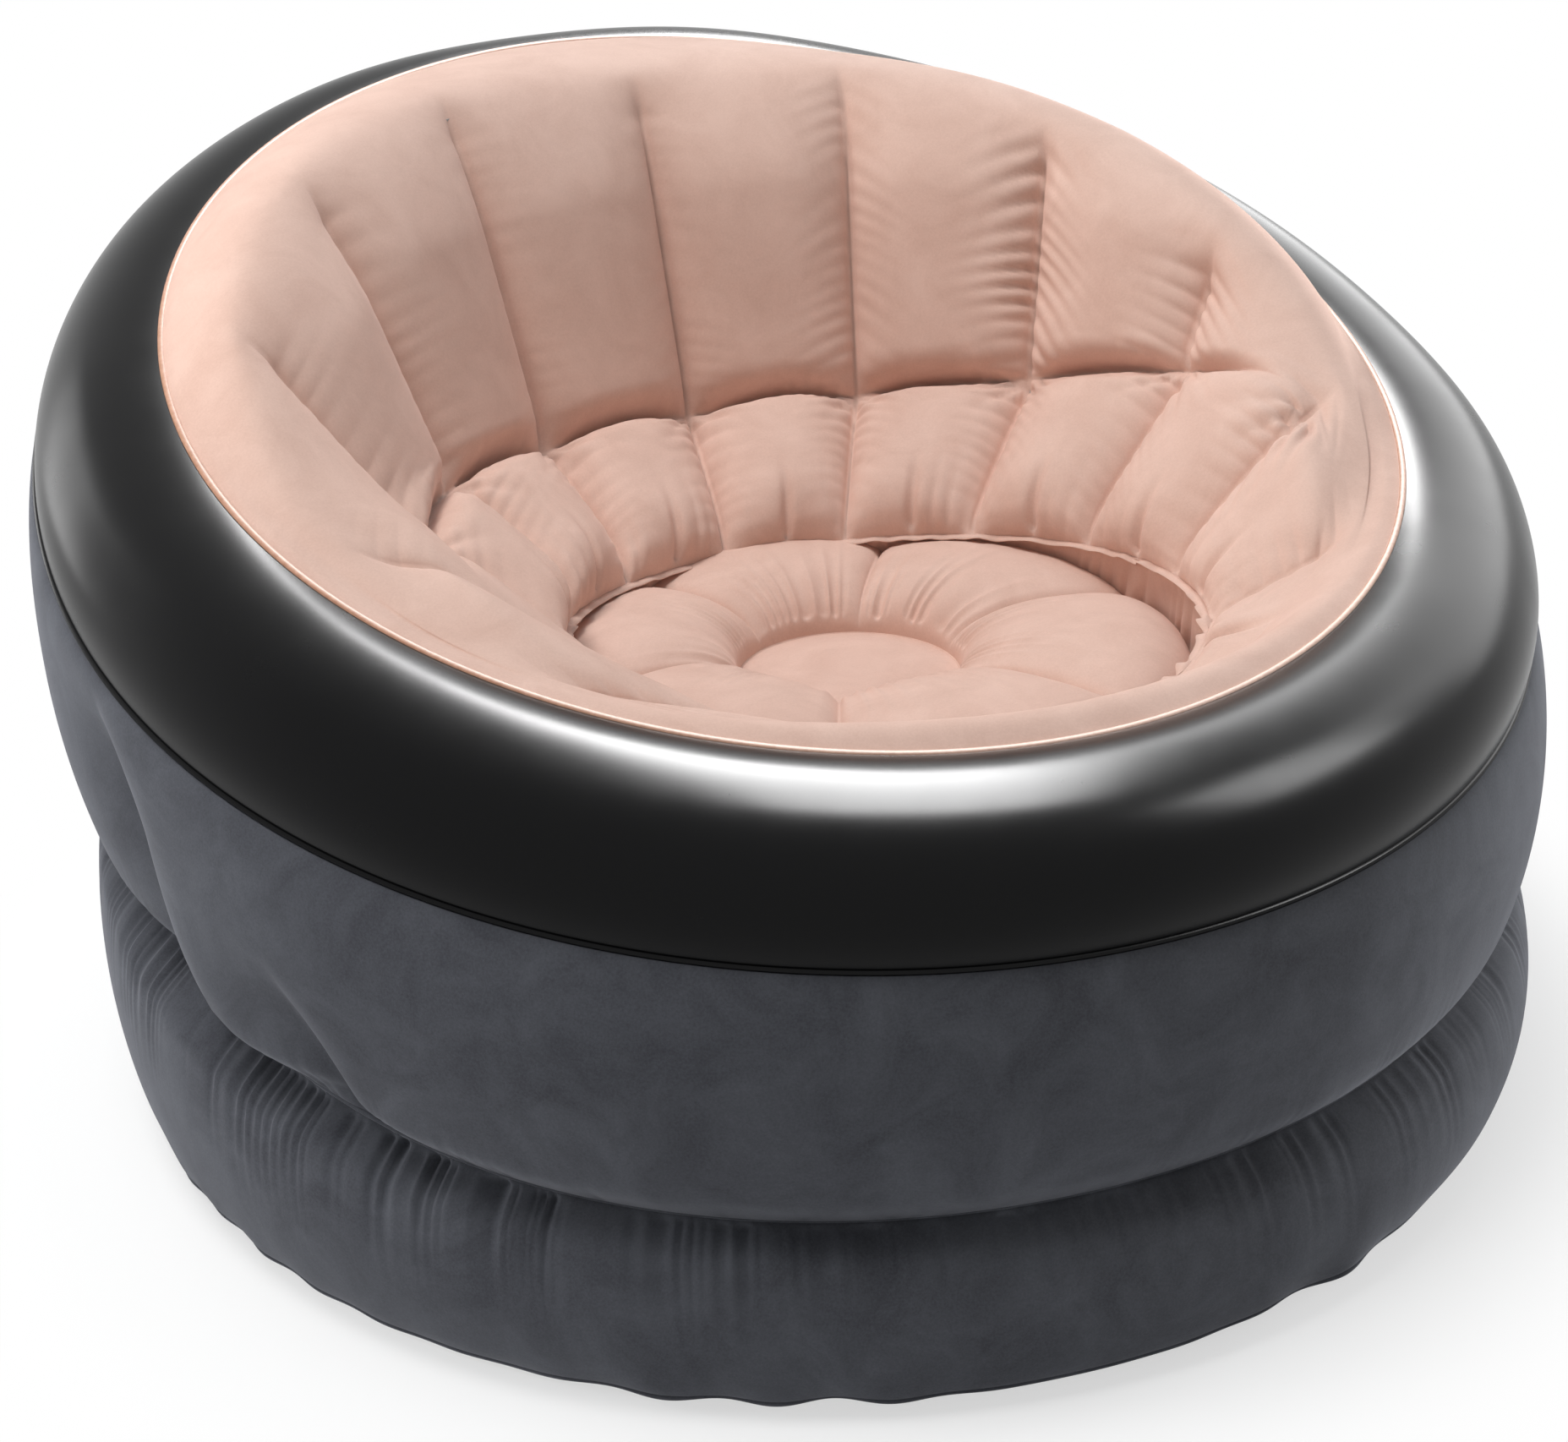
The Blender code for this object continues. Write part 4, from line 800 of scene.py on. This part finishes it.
# the band's section is a bow of a circle, deepest at the front
toFront = ((1 - np.cos(outTurns)) / 2) ** outside["bandGrowth"]
bulge = outside["bandBackBulge"] + (outside["bandFrontBulge"] - outside["bandBackBulge"]) * toFront
radius = (half ** 2 + bulge ** 2) / (2 * bulge)
sweep = 2 * np.arctan2(bulge, half)
angle = sweep[:, None] * (2 * bandShares - 1)[None]
along = (1 + radius[:, None] * np.sin(angle) / half[:, None]) / 2
lift = radius[:, None] * np.cos(angle) - (radius - bulge)[:, None]
lift += (outside["bandSwell"] * softNoise(outTurns, 111, 3, 11)[:, None]
         * np.sin(math.pi * bandShares)[None])
bandPoints = low[:, None] + chord[:, None] * along[..., None] + side[:, None] * lift[..., None]
bandPiece = gridObject("glossyBand", bandPoints)
finishPiece(bandPiece, gloss, "glossy_vinyl_black", "glossy_band", padded=True)

seamPiece("floorWeld", "floor", outTurns, charcoal, "flocked_vinyl_charcoal", "floor_weld",
          out=outside["floorRipple"] * ripple)
seamPiece("waistWeld", "waist", outTurns, charcoal, "flocked_vinyl_charcoal", "waist_weld")
seamPiece("bandWeld", "seam", outTurns, gloss, "glossy_vinyl_black", "band_weld")
seamPiece("rimWeld", "rim", outTurns, tan, "welded_edge_tan", "rim_weld")

# the sheet that ties the waist to the foot of the seat wall, cut to the drawn-in waist
tieInner = ringAt("skirt", outTurns + skirtUntwist)
tieOuter = ringAt("waist", outTurns)
tieShares = np.linspace(0.03, 0.996, 12)
tie = tieInner[:, None] + (tieOuter - tieInner)[:, None] * tieShares[None, :, None]
tieUnder = tie[:, ::-1] - np.array([0, 0, chair["sheet"]])
tiePiece = gridObject("waistTieSheet", np.concatenate([tie, tieUnder, tie[:, :1]], 1))
finishPiece(tiePiece, clear, "clear_grey_vinyl", "waist_tie_sheet")
print("outside made")


# inner webs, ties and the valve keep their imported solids

inside = ("back_web", "seat_web", "lumbar_tie", "liner_backing", "seat_tie")
for name, node in frame["nodes"].items():
    if name.startswith(inside):
        chosen = clear
    elif name in ("valve_base", "valve_insert", "valve_plug"):
        chosen = moulded
    elif name in ("check_flap", "valve_gasket"):
        chosen = silicone
    else:
        continue
    node.data.materials.clear()
    node.data.materials.append(chosen)


# floor, light and camera

studio = {"floorColour": "#F4F4F4", "floorGlow": 0.60, "fade": (0.55, 0.74), "reach": 14.0,
          "worldLight": 0.22}
# what each lamp lights: the matt surfaces, or the reflections in the gloss band
lamps = {
    "key": {"lights": "matt", "place": (-1.3, 0.3, 4.9), "aim": (0.0, 0.0, 0.3),
            "size": (2.2, 2.0), "power": 166},
    "left": {"lights": "matt", "place": (-2.4, 0.5, 0.9), "aim": (0.0, 0.0, 0.3),
             "size": (0.6, 1.4), "power": 30},
    "right": {"lights": "matt", "place": (2.5, -0.2, 0.30), "aim": (0.0, 0.0, 0.25),
              "size": (0.6, 0.5), "power": 40},
    "front": {"lights": "matt", "place": (-0.9, -2.8, 1.6), "aim": (0.0, 0.0, 0.2),
              "size": (1.4, 1.0), "power": 2},
    # the highlight along the top of the band, and its end at the right
    "gleam": {"lights": "gloss", "place": (0.70, 0.68, 2.45), "aim": (0.70, 0.68, 0.0),
              "size": (0.9, 2.9), "power": 520, "turn": -16.0},
    "cornerPanel": {"lights": "gloss", "place": (1.95, -1.4, 2.0), "aim": (0.3, -0.3, 0.45),
                    "size": (1.0, 1.0), "power": 70},
    # the grey sides of the band
    "rightPanel": {"lights": "gloss", "place": (2.9, 0.9, 2.0), "aim": (0.3, 0.0, 0.5),
                   "size": (3.6, 2.0), "power": 112},
    "leftPanel": {"lights": "gloss", "place": (-2.2, 2.4, 1.3), "aim": (-0.4, 0.0, 0.5),
                  "size": (0.9, 1.9), "power": 20},
}

floorMesh = bpy.data.meshes.new("studioFloor")
reach = studio["reach"]
floorMesh.from_pydata([(-reach, -reach, 0), (reach, -reach, 0), (reach, reach, 0),
                       (-reach, reach, 0)], [], [(0, 1, 2, 3)])
floorPiece = addObject("studioFloor", floorMesh)
paper, tree, shader = newMaterial("studio paper, white")
shader.inputs["Base Color"].default_value = toLinear(studio["floorColour"])
shader.inputs["Roughness"].default_value = 0.9
place = addNode(tree, "ShaderNodeNewGeometry")
apart = addNode(tree, "ShaderNodeVectorMath", {"operation": "LENGTH"},
                links={0: place.outputs["Position"]})
fade = addNode(tree, "ShaderNodeMapRange", {"interpolation_type": "SMOOTHSTEP"},
               {"From Min": studio["fade"][0], "From Max": studio["fade"][1],
                "To Min": studio["floorGlow"]},
               {"Value": apart.outputs["Value"]})
rays = addNode(tree, "ShaderNodeLightPath")
shown = addNode(tree, "ShaderNodeMath", {"operation": "MAXIMUM"},
                links={0: rays.outputs["Is Camera Ray"], 1: rays.outputs["Is Glossy Ray"]})
share = addNode(tree, "ShaderNodeMath", {"operation": "MULTIPLY"},
                links={0: shown.outputs[0], 1: fade.outputs["Result"]})
glow = addNode(tree, "ShaderNodeEmission", values={"Color": (1, 1, 1, 1), "Strength": 1.0})
mix = addNode(tree, "ShaderNodeMixShader",
              links={0: share.outputs[0], 1: shader.outputs[0], 2: glow.outputs[0]})
tree.links.new(mix.outputs[0], tree.nodes["Material Output"].inputs["Surface"])
floorMesh.materials.append(paper)

world = bpy.data.worlds.new("studio")
bpy.context.scene.world = world
world.use_nodes = True
tree = world.node_tree
background = tree.nodes["Background"]
background.inputs["Color"].default_value = (1, 1, 1, 1)
rays = addNode(tree, "ShaderNodeLightPath")
seen = addNode(tree, "ShaderNodeMath", {"operation": "MAXIMUM"},
               links={0: rays.outputs["Is Camera Ray"], 1: rays.outputs["Is Glossy Ray"]})
seen = addNode(tree, "ShaderNodeMath", {"operation": "MAXIMUM"},
               links={0: seen.outputs[0], 1: rays.outputs["Is Transmission Ray"]})
level = addNode(tree, "ShaderNodeMapRange", values={"To Min": studio["worldLight"], "To Max": 1.0},
                links={"Value": seen.outputs[0]})
tree.links.new(level.outputs["Result"], background.inputs["Strength"])

for lampName, lamp in lamps.items():
    data = bpy.data.lights.new(lampName + "Softbox", "AREA")
    data.shape = "RECTANGLE"
    data.size, data.size_y = lamp["size"]
    data.energy = lamp["power"]
    light = addObject(lampName + "Softbox", data)
    light.location = lamp["place"]
    light.visible_diffuse = lamp["lights"] == "matt"
    light.visible_glossy = lamp["lights"] == "gloss"
    toward = Vector(lamp["aim"]) - Vector(lamp["place"])
    light.rotation_euler = toward.to_track_quat("-Z", "Y").to_euler()
    light.rotation_euler.rotate_axis("Z", math.radians(lamp.get("turn", 0.0)))

# camera settled on the rim, seam, waist and floor curves
lens = {"azimuth": -22.857, "elevation": 23.603, "roll": -1.744,
        "place": (-0.6127, -1.3898 + chair["shift"], 0.8830), "mm": 48.52}
azimuth, elevation, roll = (math.radians(lens[k]) for k in ("azimuth", "elevation", "roll"))
back = Vector((math.sin(azimuth) * math.cos(elevation), -math.cos(azimuth) * math.cos(elevation),
               math.sin(elevation)))
level = Vector((math.cos(azimuth), math.sin(azimuth), 0))
upright = back.cross(level)
right = math.cos(roll) * level + math.sin(roll) * upright
up = -math.sin(roll) * level + math.cos(roll) * upright
camera = addObject("camera", bpy.data.cameras.new("camera"))
camera.data.lens = lens["mm"]
camera.data.sensor_width = 36.0
camera.data.clip_end = 100.0
camera.matrix_world = (Matrix.Translation(Vector(lens["place"]))
                       @ Matrix((right, up, back)).transposed().to_4x4())
bpy.context.scene.camera = camera
bpy.context.scene.view_settings.view_transform = "Standard"
print("studio made")
